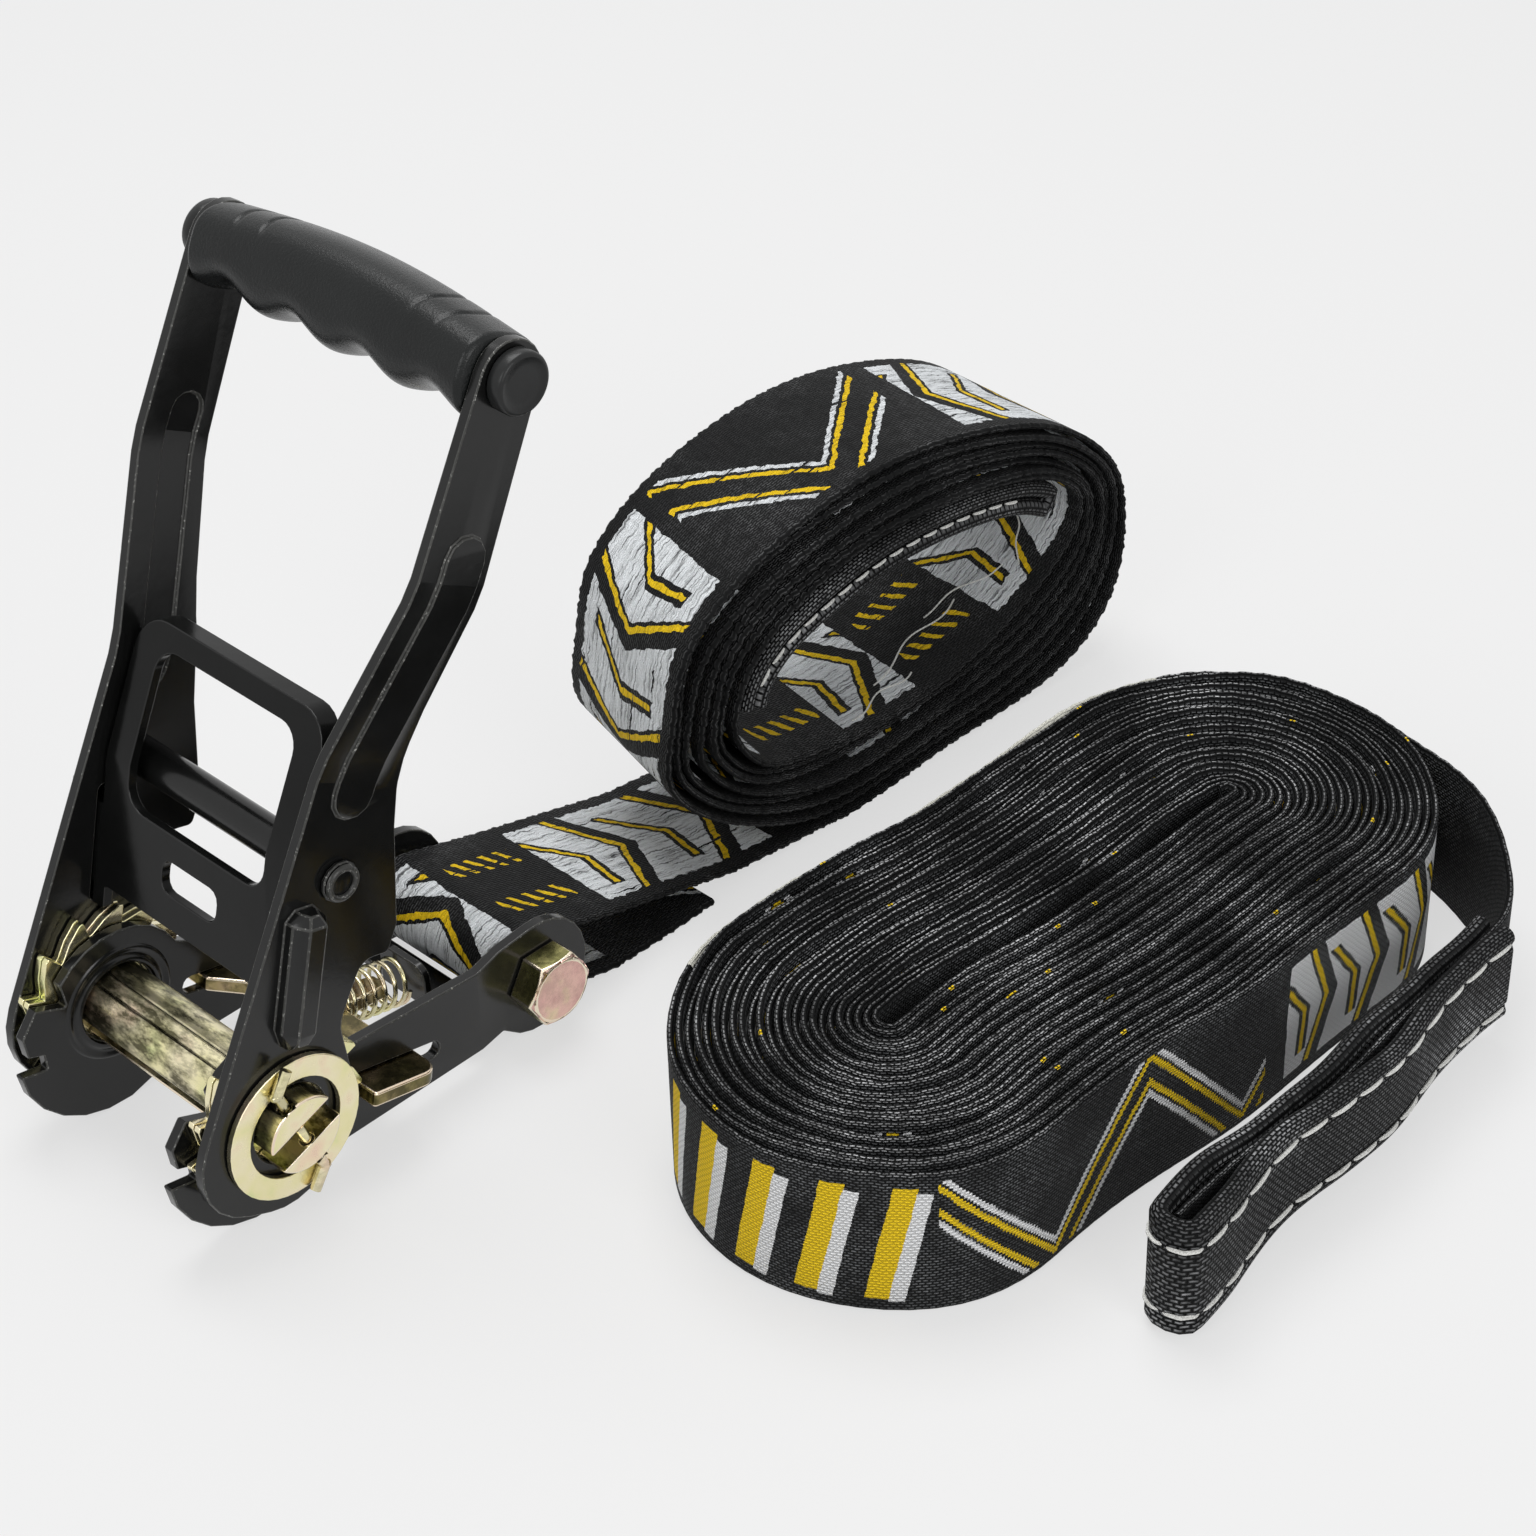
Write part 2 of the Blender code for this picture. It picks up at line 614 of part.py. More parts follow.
def strap_bolt():
    """The bolt with its hexagonal head, the washer and nut, and the tube that the strap is sewn round."""
    place = {"y": FRAME_REACH, "z": BOLT_Z}
    seat = EAR_OUT + SEAT_GAP
    nut_in = seat + BOLT_WASHER_SHEET + SEAT_GAP
    nut_end = nut_in + BOLT_NUT_HEIGHT
    shank = turned([(-nut_end - BOLT_END, BOLT_RADIUS), (seat + BOLT_HEAD_HEIGHT / 2, BOLT_RADIUS)], 20)
    bolt = piece("strap_bolt", shank, YELLOW_ZINC, axle, **place)
    corner = BOLT_HEAD_FLATS / math.sqrt(3)
    face = seat + BOLT_HEAD_HEIGHT
    boolean(bolt, prism(circle(0, 0, corner, 60), [], seat, face + CUT_OVERRUN), "UNION")
    turning = turned([
        (-nut_end - BOLT_END - CUT_OVERRUN, corner), (seat / 2, corner + CUT_OVERRUN),
        (face - BOLT_HEAD_CHAMFER, corner + SEAT_GAP), (face, BOLT_HEAD_FLATS / 2 - SEAT_GAP),
    ])
    boolean(bolt, turning, "INTERSECT")
    bore = circle(0, 0, BOLT_RADIUS + SEAT_GAP)
    washer = prism(circle(0, 0, BOLT_WASHER_RADIUS), [bore], -seat, -seat - BOLT_WASHER_SHEET)
    piece("bolt_washer", washer, YELLOW_ZINC, axle, **place)
    nut = prism(circle(0, 0, BOLT_NUT_RADIUS, 60), [bore], -nut_in, -nut_end)
    piece("bolt_nut", nut, YELLOW_ZINC, axle, **place)
    reach = EAR_INSIDE / 2 - SEAT_GAP
    tube = prism(circle(0, 0, SPACER_RADIUS), [bore], -reach, reach)
    piece("bolt_spacer", tube, BRIGHT_STEEL, axle, **place)


def reel():
    flat = REEL_SLOT / 2
    for name, side in (("a", 1), ("b", -1)):
        bm = prism(half_segment(side, REEL_RADIUS, flat), [], -REEL_OUT, REEL_OUT)
        half = piece(f"reel_half_{name}", bm, YELLOW_ZINC, reel_frame)
        for place in (COTTER_X, -COTTER_X):
            hole = bmesh.new()
            bmesh.ops.create_cone(
                hole, cap_ends=True, segments=12, radius1=COTTER_RADIUS + SEAT_GAP,
                radius2=COTTER_RADIUS + SEAT_GAP, depth=2 * REEL_RADIUS + 2 * CUT_OVERRUN,
            )
            bmesh.ops.translate(hole, verts=hole.verts[:], vec=(place, 0, 0))
            boolean(half, hole, "DIFFERENCE")
    keyed = [half_segment(side, REEL_RADIUS + SEAT_GAP, flat - SEAT_GAP) for side in (1, -1)]
    teeth = wheel_outline()
    for name, side in SIDES:
        for layer, low, high in (("inner", WHEEL_A_IN, WHEEL_A_OUT), ("outer", WHEEL_B_IN, WHEEL_B_OUT)):
            bm = prism(teeth, keyed, side * low, side * high)
            piece(f"wheel_{name}_{layer}", bm, YELLOW_ZINC, reel_frame)
        ring = prism(
            circle(0, 0, WASHER_RADIUS, FINE_STEP), [circle(0, 0, WASHER_BORE_RADIUS, FINE_STEP)],
            side * WASHER_IN, side * WASHER_OUT,
        )
        piece(f"reel_washer_{name}", ring, YELLOW_ZINC, reel_frame)
        turn = math.radians(COTTER_LEG_TURN)
        leg = (-COTTER_LEG * math.sin(turn), COTTER_LEG * math.cos(turn))
        x = side * COTTER_X
        wire(f"cotter_{name}", [
            (x, -leg[0], -COTTER_ELBOW - leg[1]), (x, 0, -COTTER_ELBOW),
            (x, 0, COTTER_ELBOW), (x, leg[0], COTTER_ELBOW + leg[1]),
        ], COTTER_RADIUS, BRIGHT_STEEL, reel_frame)


def wheel_outline():
    """Ratchet teeth: a steep face up to the tip, a short land, then an even ramp down to the next root."""
    points = []
    pitch = 360 / WHEEL_TEETH
    drop = WHEEL_TIP_RADIUS - WHEEL_ROOT_RADIUS
    first = WHEEL_TIP_ANGLE - REEL_SLOT_ANGLE
    for tooth in range(WHEEL_TEETH):
        at = first + tooth * pitch
        for turn, share in ((-1, 0), (0, 1), (WHEEL_TIP_LAND, 1), (pitch / 2, 0.5), (pitch - WHEEL_TIP_LAND, 0)):
            radius = WHEEL_ROOT_RADIUS + share * drop
            angle = math.radians(at + turn)
            points.append((radius * math.cos(angle), radius * math.sin(angle)))
    return points


def drive_slot():
    """Where the drive pawl's ears run, in the handle's own frame."""
    return in_frame(long_hole(
        DRIVE_EAR_START - DRIVE_TRAVEL_IN - SLIDE_PLAY,
        DRIVE_EAR_END + DRIVE_TRAVEL_OUT + SLIDE_PLAY + SLOT_ROUND_ROOM,
        DRIVE_OFFSET, DRIVE_SHEET + 2 * SLIDE_PLAY,
    ), DRIVE_ANGLE - HANDLE_ANGLE)


def hood(side):
    """The pressed louvre over the pawl's ear: a half-round ridge along the slot, closed and rounded at its top."""
    foot = HANDLE_OUT - HANDLE_SHEET / 3
    crown = HANDLE_OUT + HOOD_HEIGHT
    end = DRIVE_EAR_END + DRIVE_TRAVEL_OUT + 2 * HOOD_WALL
    rings = []
    for along, size in ((HOOD_START, 0.55), (HOOD_START + HOOD_HALF, 1), (end - HOOD_HALF / 2, 1), (end, 0.5)):
        half = HOOD_HALF * size
        top = foot + (crown - foot) * (size + 1) / 2
        section = [
            (side * foot, -half), (side * (foot + top) / 2, -half), (side * top, -half / 2),
            (side * top, half / 2), (side * (foot + top) / 2, half), (side * foot, half),
        ]
        rings.append([(x, *in_frame([(along, DRIVE_OFFSET + z)], DRIVE_ANGLE - HANDLE_ANGLE)[0]) for x, z in section])
    return loft(rings)


def pocket(side):
    """The room under the hood in which the ear slides, open at its lower end and a little over the slot's size."""
    radius = DRIVE_SHEET / 2 + SLIDE_PLAY + SEAT_GAP
    start, end = HOOD_START - CUT_OVERRUN, DRIVE_EAR_END + DRIVE_TRAVEL_OUT + 2 * SLIDE_PLAY
    outline = [
        (start, DRIVE_OFFSET - radius), (end, DRIVE_OFFSET - radius),
        (end, DRIVE_OFFSET + radius), (start, DRIVE_OFFSET + radius),
    ]
    low, high = HANDLE_OUT + SEAT_GAP / 2, HANDLE_OUT + HOOD_HEIGHT - HOOD_WALL + SEAT_GAP
    return prism(in_frame(outline, DRIVE_ANGLE - HANDLE_ANGLE), [], side * low, side * high)


def handle_plates():
    outline = rounded(scaled(HANDLE_CORNER_SHARES, HANDLE_REACH, HANDLE_BACK))
    holes = [
        circle(0, 0, REEL_RADIUS + BEARING_PLAY, FINE_STEP),
        circle(HANDLE_REACH, GRIP_OFFSET, GRIP_TUBE_RADIUS + SEAT_GAP),
        circle(HANDLE_TUBE_REACH, HANDLE_TUBE_OFFSET, HANDLE_RIVET_RADIUS + SEAT_GAP, 30),
    ]
    bead = long_hole(BEAD_START - BEAD_RADIUS, BEAD_END + BEAD_RADIUS, BEAD_OFFSET, 2 * BEAD_RADIUS)
    hollow = BEAD_RADIUS - BEAD_BORDER
    groove = long_hole(BEAD_START - hollow, BEAD_END + hollow, BEAD_OFFSET, 2 * hollow)
    slope = HANDLE_JOG / (JOG_END - JOG_START)
    stations = (
        (JOG_START - JOG_EASE / 2, 0), (JOG_START + JOG_EASE / 2, slope * JOG_EASE / 2),
        (JOG_END - JOG_EASE / 2, HANDLE_JOG - slope * JOG_EASE / 2), (JOG_END + JOG_EASE / 2, HANDLE_JOG),
    )
    for name, side in SIDES:
        made = piece(
            f"handle_plate_{name}", prism(outline, holes, side * HANDLE_IN, side * HANDLE_OUT), BLACK_PAINT,
            handle_frame,
        )
        ridge = prism(bead, [], side * (HANDLE_OUT - HANDLE_SHEET / 2), side * (HANDLE_OUT + BEAD_HEIGHT))
        boolean(made, ridge, "UNION")
        behind = prism(groove, [], side * (HANDLE_IN - CUT_OVERRUN), side * (HANDLE_IN + BEAD_HEIGHT))
        boolean(made, behind, "DIFFERENCE")
        boolean(made, hood(side), "UNION")
        under = HANDLE_OUT + HOOD_HEIGHT - HOOD_WALL
        boolean(made, prism(drive_slot(), [], side * (HANDLE_IN - CUT_OVERRUN), side * under), "DIFFERENCE")
        boolean(made, pocket(side), "DIFFERENCE")
        rebent(made, side, stations)


def handle_tube():
    place = {"y": HANDLE_TUBE_REACH, "z": HANDLE_TUBE_OFFSET}
    reach = HANDLE_IN - SEAT_GAP
    bore = circle(0, 0, HANDLE_RIVET_RADIUS + SEAT_GAP, 30)
    tube = prism(circle(0, 0, HANDLE_TUBE_RADIUS), [bore], -reach, reach)
    piece("handle_tube", tube, BLACK_PAINT, handle_frame, **place)
    seat = HANDLE_OUT + SEAT_GAP
    end = seat + RIVET_HEAD_HEIGHT
    profile = [
        (-end, RIVET_HEAD_RADIUS / 2), (-end + RIVET_HEAD_HEIGHT / 3, RIVET_HEAD_RADIUS), (-seat, RIVET_HEAD_RADIUS),
        (-seat, HANDLE_RIVET_RADIUS), (seat, HANDLE_RIVET_RADIUS),
        (seat, RIVET_HEAD_RADIUS), (end - RIVET_HEAD_HEIGHT / 3, RIVET_HEAD_RADIUS), (end, RIVET_HEAD_RADIUS / 2),
    ]
    piece("handle_rivet", turned(profile, 30), BLACK_PAINT, handle_frame, **place)


def grip():
    """The hand grip: a soft box along X, crowned on top, with finger waves below."""
    place = {"y": HANDLE_REACH, "z": GRIP_OFFSET}
    half = HANDLE_IN + HANDLE_JOG - SEAT_GAP
    rings = []
    stations = 6 * GRIP_WAVES
    for k in range(stations + 1):
        share = 2 * k / stations - 1
        crown = GRIP_TOP + GRIP_TOP_CROWN * math.cos(share * math.pi / 2)
        below = GRIP_BELOW + GRIP_WAVE * math.cos(share * GRIP_WAVES * math.pi)
        ring = []
        for n in range(20):
            turn = math.radians(360 * n / 20)
            c, s = math.cos(turn), math.sin(turn)
            reach = crown if c > 0 else below
            ring.append((
                share * half, reach * math.copysign(abs(c) ** 0.8, c),
                GRIP_HALF_DEPTH * math.copysign(abs(s) ** 0.8, s),
            ))
        rings.append(ring)
    made = piece("grip", loft(rings), GRIP_PLASTIC, handle_frame, **place)
    bore = GRIP_TUBE_RADIUS + SEAT_GAP
    boolean(made, turned([(-half - CUT_OVERRUN, bore), (half + CUT_OVERRUN, bore)]), "DIFFERENCE")
    top = HANDLE_OUT + HANDLE_JOG
    inner = circle(0, 0, HANDLE_RIVET_RADIUS)
    tube = prism(circle(0, 0, GRIP_TUBE_RADIUS), [inner], -top + GRIP_TUBE_SETBACK, top - GRIP_TUBE_SETBACK)
    piece("grip_tube", tube, BRIGHT_STEEL, handle_frame, **place)
    for name, side in SIDES:
        seat = top + SEAT_GAP
        bm = turned([
            (side * seat, CAP_RADIUS), (side * (seat + CAP_HEIGHT / 2), CAP_RADIUS),
            (side * (seat + CAP_HEIGHT * 0.85), CAP_RADIUS * 0.9), (side * (seat + CAP_HEIGHT), CAP_RADIUS * 0.7),
        ])
        piece(f"grip_cap_{name}", bm, CAP_PLASTIC, handle_frame, **place)


def drive_pawl():
    """A folded sheet: finger bar and side flanges round the window, ears through the handle plates, blade below."""
    blade = WHEEL_B_OUT + SEAT_GAP
    half = [
        (DRIVE_NOTCH_HALF, DRIVE_EDGE, DRIVE_EDGE_EASE), (blade, DRIVE_EDGE, DRIVE_EDGE_EASE),
        (blade, DRIVE_EAR_START, 0), (DRIVE_EAR_HALF, DRIVE_EAR_START, DRIVE_EDGE_EASE),
        (DRIVE_EAR_HALF, DRIVE_EAR_END, DRIVE_EAR_CORNER), (DRIVE_HALF, DRIVE_EAR_END, DRIVE_EDGE_EASE),
        (DRIVE_HALF, DRIVE_TOP, DRIVE_CORNER),
    ]
    arch = [(DRIVE_NOTCH_HALF, DRIVE_EDGE + DRIVE_NOTCH_DEPTH, DRIVE_NOTCH_CORNER)]
    right = arch + half
    outline = rounded(right + [(-x, y, r) for x, y, r in reversed(right)])
    window = rounded([
        (side * WINDOW_HALF, y, WINDOW_CORNER)
        for side, y in ((-1, WINDOW_START), (1, WINDOW_START), (1, WINDOW_END), (-1, WINDOW_END))
    ])
    lightening = rounded([
        (side * LIGHTENING_HALF, y, WINDOW_CORNER / 2)
        for side, y in ((-1, LIGHTENING_START), (1, LIGHTENING_START), (1, LIGHTENING_END), (-1, LIGHTENING_END))
    ], 30)
    low = DRIVE_OFFSET - DRIVE_SHEET / 2
    sheet = prism(outline, [window, lightening], low, low + DRIVE_SHEET, "Z")
    made = piece("drive_pawl", sheet, BLACK_PAINT, drive_frame)
    inside = DRIVE_HALF - DRIVE_SHEET
    rim = rounded([
        (DRIVE_HALF, DRIVE_CREASE, 0), (DRIVE_HALF, DRIVE_TOP, DRIVE_CORNER),
        (-DRIVE_HALF, DRIVE_TOP, DRIVE_CORNER), (-DRIVE_HALF, DRIVE_CREASE, 0),
        (-inside, DRIVE_CREASE, 0), (-inside, DRIVE_TOP - DRIVE_SHEET, DRIVE_CORNER - DRIVE_SHEET),
        (inside, DRIVE_TOP - DRIVE_SHEET, DRIVE_CORNER - DRIVE_SHEET), (inside, DRIVE_CREASE, 0),
    ])
    boolean(made, prism(rim, [], low + DRIVE_SHEET / 2 - DRIVE_RIM_DEPTH, low + DRIVE_SHEET / 2, "Z"), "UNION")
    rebent(made, -1, ((DRIVE_CREASE, 0), (DRIVE_TOP, DRIVE_LEAN)), "z")


def lock_pawl():
    """The frame's pawl: a thick plate with ears, an arch over the reel and a tapered tail for its spring."""
    blade = LOCK_EAR_HALF
    right = [
        (LOCK_ARCH_HALF - LOCK_ARCH_DEPTH, LOCK_EDGE + LOCK_ARCH_DEPTH, LOCK_ARCH_DEPTH),
        (LOCK_ARCH_HALF, LOCK_EDGE, LOCK_EDGE_EASE), (blade, LOCK_EDGE, LOCK_EDGE_EASE),
        (blade, LOCK_BACK, LOCK_EAR_CORNER), (FRAME_IN - SHEET_PLAY, LOCK_BACK, 0),
        (FRAME_IN - SHEET_PLAY, LOCK_BODY_BACK, 0), (LOCK_TAIL_ROOT_HALF, LOCK_BODY_BACK, LOCK_TAIL_FILLET),
        (LOCK_TAIL_END_HALF, LOCK_TAIL_END, LOCK_EDGE_EASE),
    ]
    outline = rounded(right + [(-x, y, r) for x, y, r in reversed(right)])
    low = LOCK_OFFSET - LOCK_SHEET / 2
    piece("lock_pawl", prism(outline, [], low, low + LOCK_SHEET, "Z"), YELLOW_ZINC, lock_frame)
    start = LOCK_BODY_BACK + SPRING_WIRE + SEAT_GAP
    tilt = math.radians(-LOCK_ANGLE)
    tab_face = BRIDGE_Y - BRIDGE_SHEET / 2 - math.sin(tilt) * (LOCK_OFFSET + SPRING_RADIUS + SPRING_WIRE)
    end = tab_face / math.cos(tilt) - SPRING_WIRE - SEAT_GAP
    count = SPRING_CURLS * SPRING_POINTS
    points = []
    for k in range(count + 1):
        turn = 2 * math.pi * k / SPRING_POINTS
        points.append((
            SPRING_RADIUS * math.cos(turn), start + (end - start) * k / count, LOCK_OFFSET + SPRING_RADIUS * math.sin(turn),
        ))
    gap = (end - start) / SPRING_CURLS - 2 * SPRING_WIRE
    print(f"lock spring: least gap between curls {1000 * gap:.2f} mm")
    wire("lock_spring", points, SPRING_WIRE, YELLOW_ZINC, lock_frame)


def strap_roll_place(place):
    """A point of the short strap's roll: it winds from the outer outline to the core, evenly from turn to turn."""
    count = len(STRAP_OUTER_SHARES)
    outer = closed_curve(STRAP_OUTER_SHARES, place)
    core = closed_curve(STRAP_CORE_SHARES, place)
    share = outer.lerp(core, place / count / STRAP_TURNS)
    return Vector((STRAP_ROLL_START + share.x * STRAP_ROLL_LENGTH, share.y * STRAP_ROLL_HEIGHT - AXIS_HEIGHT))


def skewed(points, x):
    """The roll's points at a place across the strap: towards the far edge the roll is shorter at its left end."""
    end = STRAP_ROLL_START + STRAP_ROLL_LENGTH
    shorter = 1 - STRAP_FAR_SHORTER_SHARE * (STRAP_WIDTH / 2 - x) / STRAP_WIDTH
    return [Vector((end - (end - p.x) * shorter, p.y)) for p in points]


def short_strap():
    """One band: a sewn end on the floor, the loop round the spacer tube, the run to the roll and its turns."""
    floor = STRAP_SHEET / 2 - AXIS_HEIGHT
    radius = SPACER_RADIUS + SEAT_GAP + STRAP_SHEET / 2
    path = [Vector((STRAP_SEAM_END, floor)), Vector((STRAP_FLOOR_START, floor))]
    path += [Vector(point) for point in arc(FRAME_REACH, BOLT_Z, radius, 285, 74)]
    lead = [
        Vector((STRAP_ROLL_START + a * STRAP_ROLL_LENGTH, floor + b * STRAP_ROLL_HEIGHT)) for a, b in STRAP_LEAD_SHARES
    ]
    path += lead
    count = len(STRAP_OUTER_SHARES)
    roll = [strap_roll_place(k * count / LOOP_POINTS) for k in range(STRAP_TURNS * LOOP_POINTS + 1)]
    path += roll
    half = STRAP_WIDTH / 2
    far = path[:-len(roll)] + skewed(roll, -half)
    print(f"short strap: least gap {1000 * least_gap(path, STRAP_SHEET, STRAP_ROLL_LENGTH / 2):.2f} mm")
    piece("ratchet_strap", strip(path, STRAP_SHEET, -half, half, "X", far), BLACK_WEBBING, axle)


def strap_sleeve():
    """The end loop's sleeve, folded flat under the roll's inner turn."""
    count = len(STRAP_OUTER_SHARES)
    last = count * (STRAP_TURNS - 1)
    steps = LOOP_POINTS // 2
    places = [last + STRAP_SLEEVE_TO + (STRAP_SLEEVE_FROM - STRAP_SLEEVE_TO) * k / steps for k in range(steps + 1)]

    def offset(place, distance):
        here = strap_roll_place(place)
        run = (strap_roll_place(place + RUN_STEP) - strap_roll_place(place - RUN_STEP)).normalized()
        return here + Vector((-run.y, run.x)) * distance

    first = STRAP_SHEET + SEAT_GAP + STRAP_SLEEVE_SHEET / 2
    second = first + STRAP_SLEEVE_SHEET + 2 * SEAT_GAP
    path = [offset(place, first) for place in places] + [offset(place, second) for place in reversed(places)]
    low, high = (STRAP_SLEEVE_SHIFT + side * STRAP_SLEEVE_WIDTH / 2 for side in (-1, 1))
    bm = strip(skewed(path, high), STRAP_SLEEVE_SHEET, low, high, "X", skewed(path, low))
    piece("ratchet_strap_sleeve", bm, BLACK_SLEEVE, axle)


def long_line():
    """The line wound flat: a spiral drawn out along Y, from its folded inner end to the loose outer end."""
    half = LINE_ROLL_STRAIGHT / 2
    bend = LOOP_POINTS // 2 - 1
    path = []

    def radius_at(turns):
        return LINE_CORE_RADIUS + LINE_PITCH * turns

    for turn in range(LINE_TURNS):
        for end, sign in ((0, 1), (1, -1)):
            for k in range(bend + 1):
                angle = math.pi - math.pi * k / bend - end * math.pi
                radius = radius_at(turn + (end + k / (bend + 1)) / 2)
                path.append(Vector((
                    LINE_ROLL_X + radius * math.cos(angle), LINE_ROLL_Y + sign * half + radius * math.sin(angle)
                )))
    outer = radius_at(LINE_TURNS)
    leaves = math.radians(LINE_LEAVES_AT)
    for k in range(bend):
        angle = math.pi - math.pi * k / bend
        if angle <= leaves:
            break
        radius = radius_at(LINE_TURNS + k / (bend + 1) / 2)
        path.append(Vector((LINE_ROLL_X + radius * math.cos(angle), LINE_ROLL_Y + half + radius * math.sin(angle))))
    end_y = LINE_ROLL_Y + half
    tail = [path[-1]] + [Vector((LINE_ROLL_X + a * outer, end_y + b * outer)) for a, b in LINE_TAIL_SHARES]
    path += open_curve(tail, 3)[1:]
    mouth = path[-1]
    path.append(Vector((LINE_ROLL_X + LINE_END_SHARES[0] * outer, end_y + LINE_END_SHARES[1] * outer)))
    print(f"long line: least gap {1000 * least_gap(path, LINE_SHEET, LINE_ROLL_STRAIGHT / 2):.2f} mm")
    bm = strip(path, LINE_SHEET, 0, LINE_WIDTH, "Z")
    piece("long_line", bm, BLACK_WEBBING, None)
    line_sleeve(mouth, path[-1])


def line_sleeve(mouth, line_end):
    """The black sleeve of the line's end loop: a U round the line's end, standing on the floor."""
    reach = LINE_SHEET / 2 + SEAT_GAP + SLEEVE_SHEET / 2
    run = (line_end - mouth).normalized()
    across = Vector((-run.y, run.x))
    mouth = mouth + run * SLEEVE_MOUTH_GAP
    path = [mouth + across * reach]
    path += [line_end + across * z + run * y for y, z in arc(0, 0, reach, 90, -90, 30)]
    path += [mouth - across * reach]
    piece("line_sleeve", strip(path, SLEEVE_SHEET, 0, SLEEVE_WIDTH, "Z"), BLACK_SLEEVE, None)


frame_plates()
frame_bridge()
strap_bolt()
reel()
handle_plates()
handle_tube()
grip()
drive_pawl()
lock_pawl()
short_strap()
strap_sleeve()
long_line()
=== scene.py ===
# %% [markdown]
# A slackline set seen as in a catalogue photograph: a steel ratchet with its short strap, and the long line
# rolled up beside it. The metal comes packed from the CAD as a fixed frame. This notebook dresses it: it
# rounds the sheared edges, gives each metal its plating or paint, and lays soft webbing where the CAD keeps
# plain solids.

# %% Load the frame
import json
import math

import bmesh
import bpy
import numpy as np
from mathutils import Matrix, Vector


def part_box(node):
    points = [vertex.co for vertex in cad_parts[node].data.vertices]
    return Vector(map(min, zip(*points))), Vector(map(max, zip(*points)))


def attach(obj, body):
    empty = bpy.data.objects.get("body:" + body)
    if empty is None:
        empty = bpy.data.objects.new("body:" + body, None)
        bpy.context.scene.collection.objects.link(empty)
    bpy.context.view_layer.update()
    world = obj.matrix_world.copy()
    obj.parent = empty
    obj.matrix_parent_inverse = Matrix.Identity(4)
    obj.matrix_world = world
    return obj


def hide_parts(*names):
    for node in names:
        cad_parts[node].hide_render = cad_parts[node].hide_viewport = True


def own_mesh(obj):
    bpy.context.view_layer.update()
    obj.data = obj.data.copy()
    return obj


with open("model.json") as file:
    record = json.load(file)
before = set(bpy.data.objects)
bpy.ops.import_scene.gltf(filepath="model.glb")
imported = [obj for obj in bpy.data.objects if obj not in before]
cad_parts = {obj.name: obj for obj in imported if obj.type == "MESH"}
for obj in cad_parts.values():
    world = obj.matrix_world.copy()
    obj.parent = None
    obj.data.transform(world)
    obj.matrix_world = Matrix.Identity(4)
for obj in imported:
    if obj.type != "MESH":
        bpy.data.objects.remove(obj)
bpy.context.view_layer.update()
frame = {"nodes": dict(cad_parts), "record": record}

# %% [markdown]
# The camera stands in front of the near side, above the handle, and looks down on both pieces. A long lens
# keeps the plates nearly parallel. Its place and directions were worked out from the photograph.

# %% Camera
CAMERA_AT = (0.5543665, -0.3517643, 0.5758673)
RIGHT = (0.716266, 0.697343, -0.025990)
UP = (-0.396403, 0.437247, 0.807267)
BACK = (0.574306, -0.567915, 0.589614)


def placed(name, data):
    """A new object in the scene that holds this data."""
    made = bpy.data.objects.new(name, data)
    bpy.context.scene.collection.objects.link(made)
    return made


def facing(right, up, back, at):
    """The matrix of an object at a point, with its own three axes along these directions."""
    return Matrix([(right[k], up[k], back[k], at[k]) for k in range(3)] + [(0, 0, 0, 1)])


lens = bpy.data.cameras.new("camera")
lens.lens = 82.963
lens.sensor_width = 36.0
lens.clip_end = 20.0
camera = placed("camera", lens)
camera.matrix_world = facing(RIGHT, UP, BACK, CAMERA_AT)
bpy.context.scene.camera = camera
bpy.context.scene.view_settings.view_transform = "Standard"
print(f"camera at {CAMERA_AT}, lens {lens.lens:.1f} mm")

# %% [markdown]
# Every finish here is a sum of a few patterns, and each pattern is a node. Two small functions add nodes and
# fill them. The class Value then turns + - * / % < > into Math nodes, because a formula reads more easily.

# %% Nodes, and formulas that become nodes
def fill(tree, node, entries):
    """Fills a node's entries, each from a Value, another node's socket, or a plain number or colour."""
    for key, value in entries.items():
        entry = node.inputs[key]
        if isinstance(value, Value):
            value = value.socket
        if isinstance(value, bpy.types.NodeSocket):
            tree.links.new(value, entry)
        else:
            entry.default_value = (*value, 1) if entry.type == "RGBA" else value


def added(tree, kind, entries, **settings):
    """A new node of this kind, with its settings and then its entries."""
    node = tree.nodes.new(f"ShaderNode{kind}")
    for key, value in settings.items():
        setattr(node, key, value)
    fill(tree, node, entries)
    return node


def math_node(operation):
    """A method that puts one Math node of this kind behind the number."""
    return lambda value, *others: value.math(operation, *others)


class Value:
    """A number on its way through a material; each sign or method adds one or two Math nodes."""

    __add__, __sub__ = math_node("ADD"), math_node("SUBTRACT")
    __mul__, __truediv__ = math_node("MULTIPLY"), math_node("DIVIDE")
    __lt__, __gt__ = math_node("LESS_THAN"), math_node("GREATER_THAN")
    __mod__, floor = math_node("FLOORED_MODULO"), math_node("FLOOR")
    both, either, size = math_node("MINIMUM"), math_node("MAXIMUM"), math_node("ABSOLUTE")

    def __init__(self, tree, socket):
        self.tree, self.socket = tree, socket

    def math(self, operation, *others):
        node = added(self.tree, "Math", dict(enumerate((self, *others))), operation=operation)
        return Value(self.tree, node.outputs[0])

    def clamped(self):
        return self.both(1.0).either(0.0)

    def between(self, low, high):
        return (self > low) * (self < high)


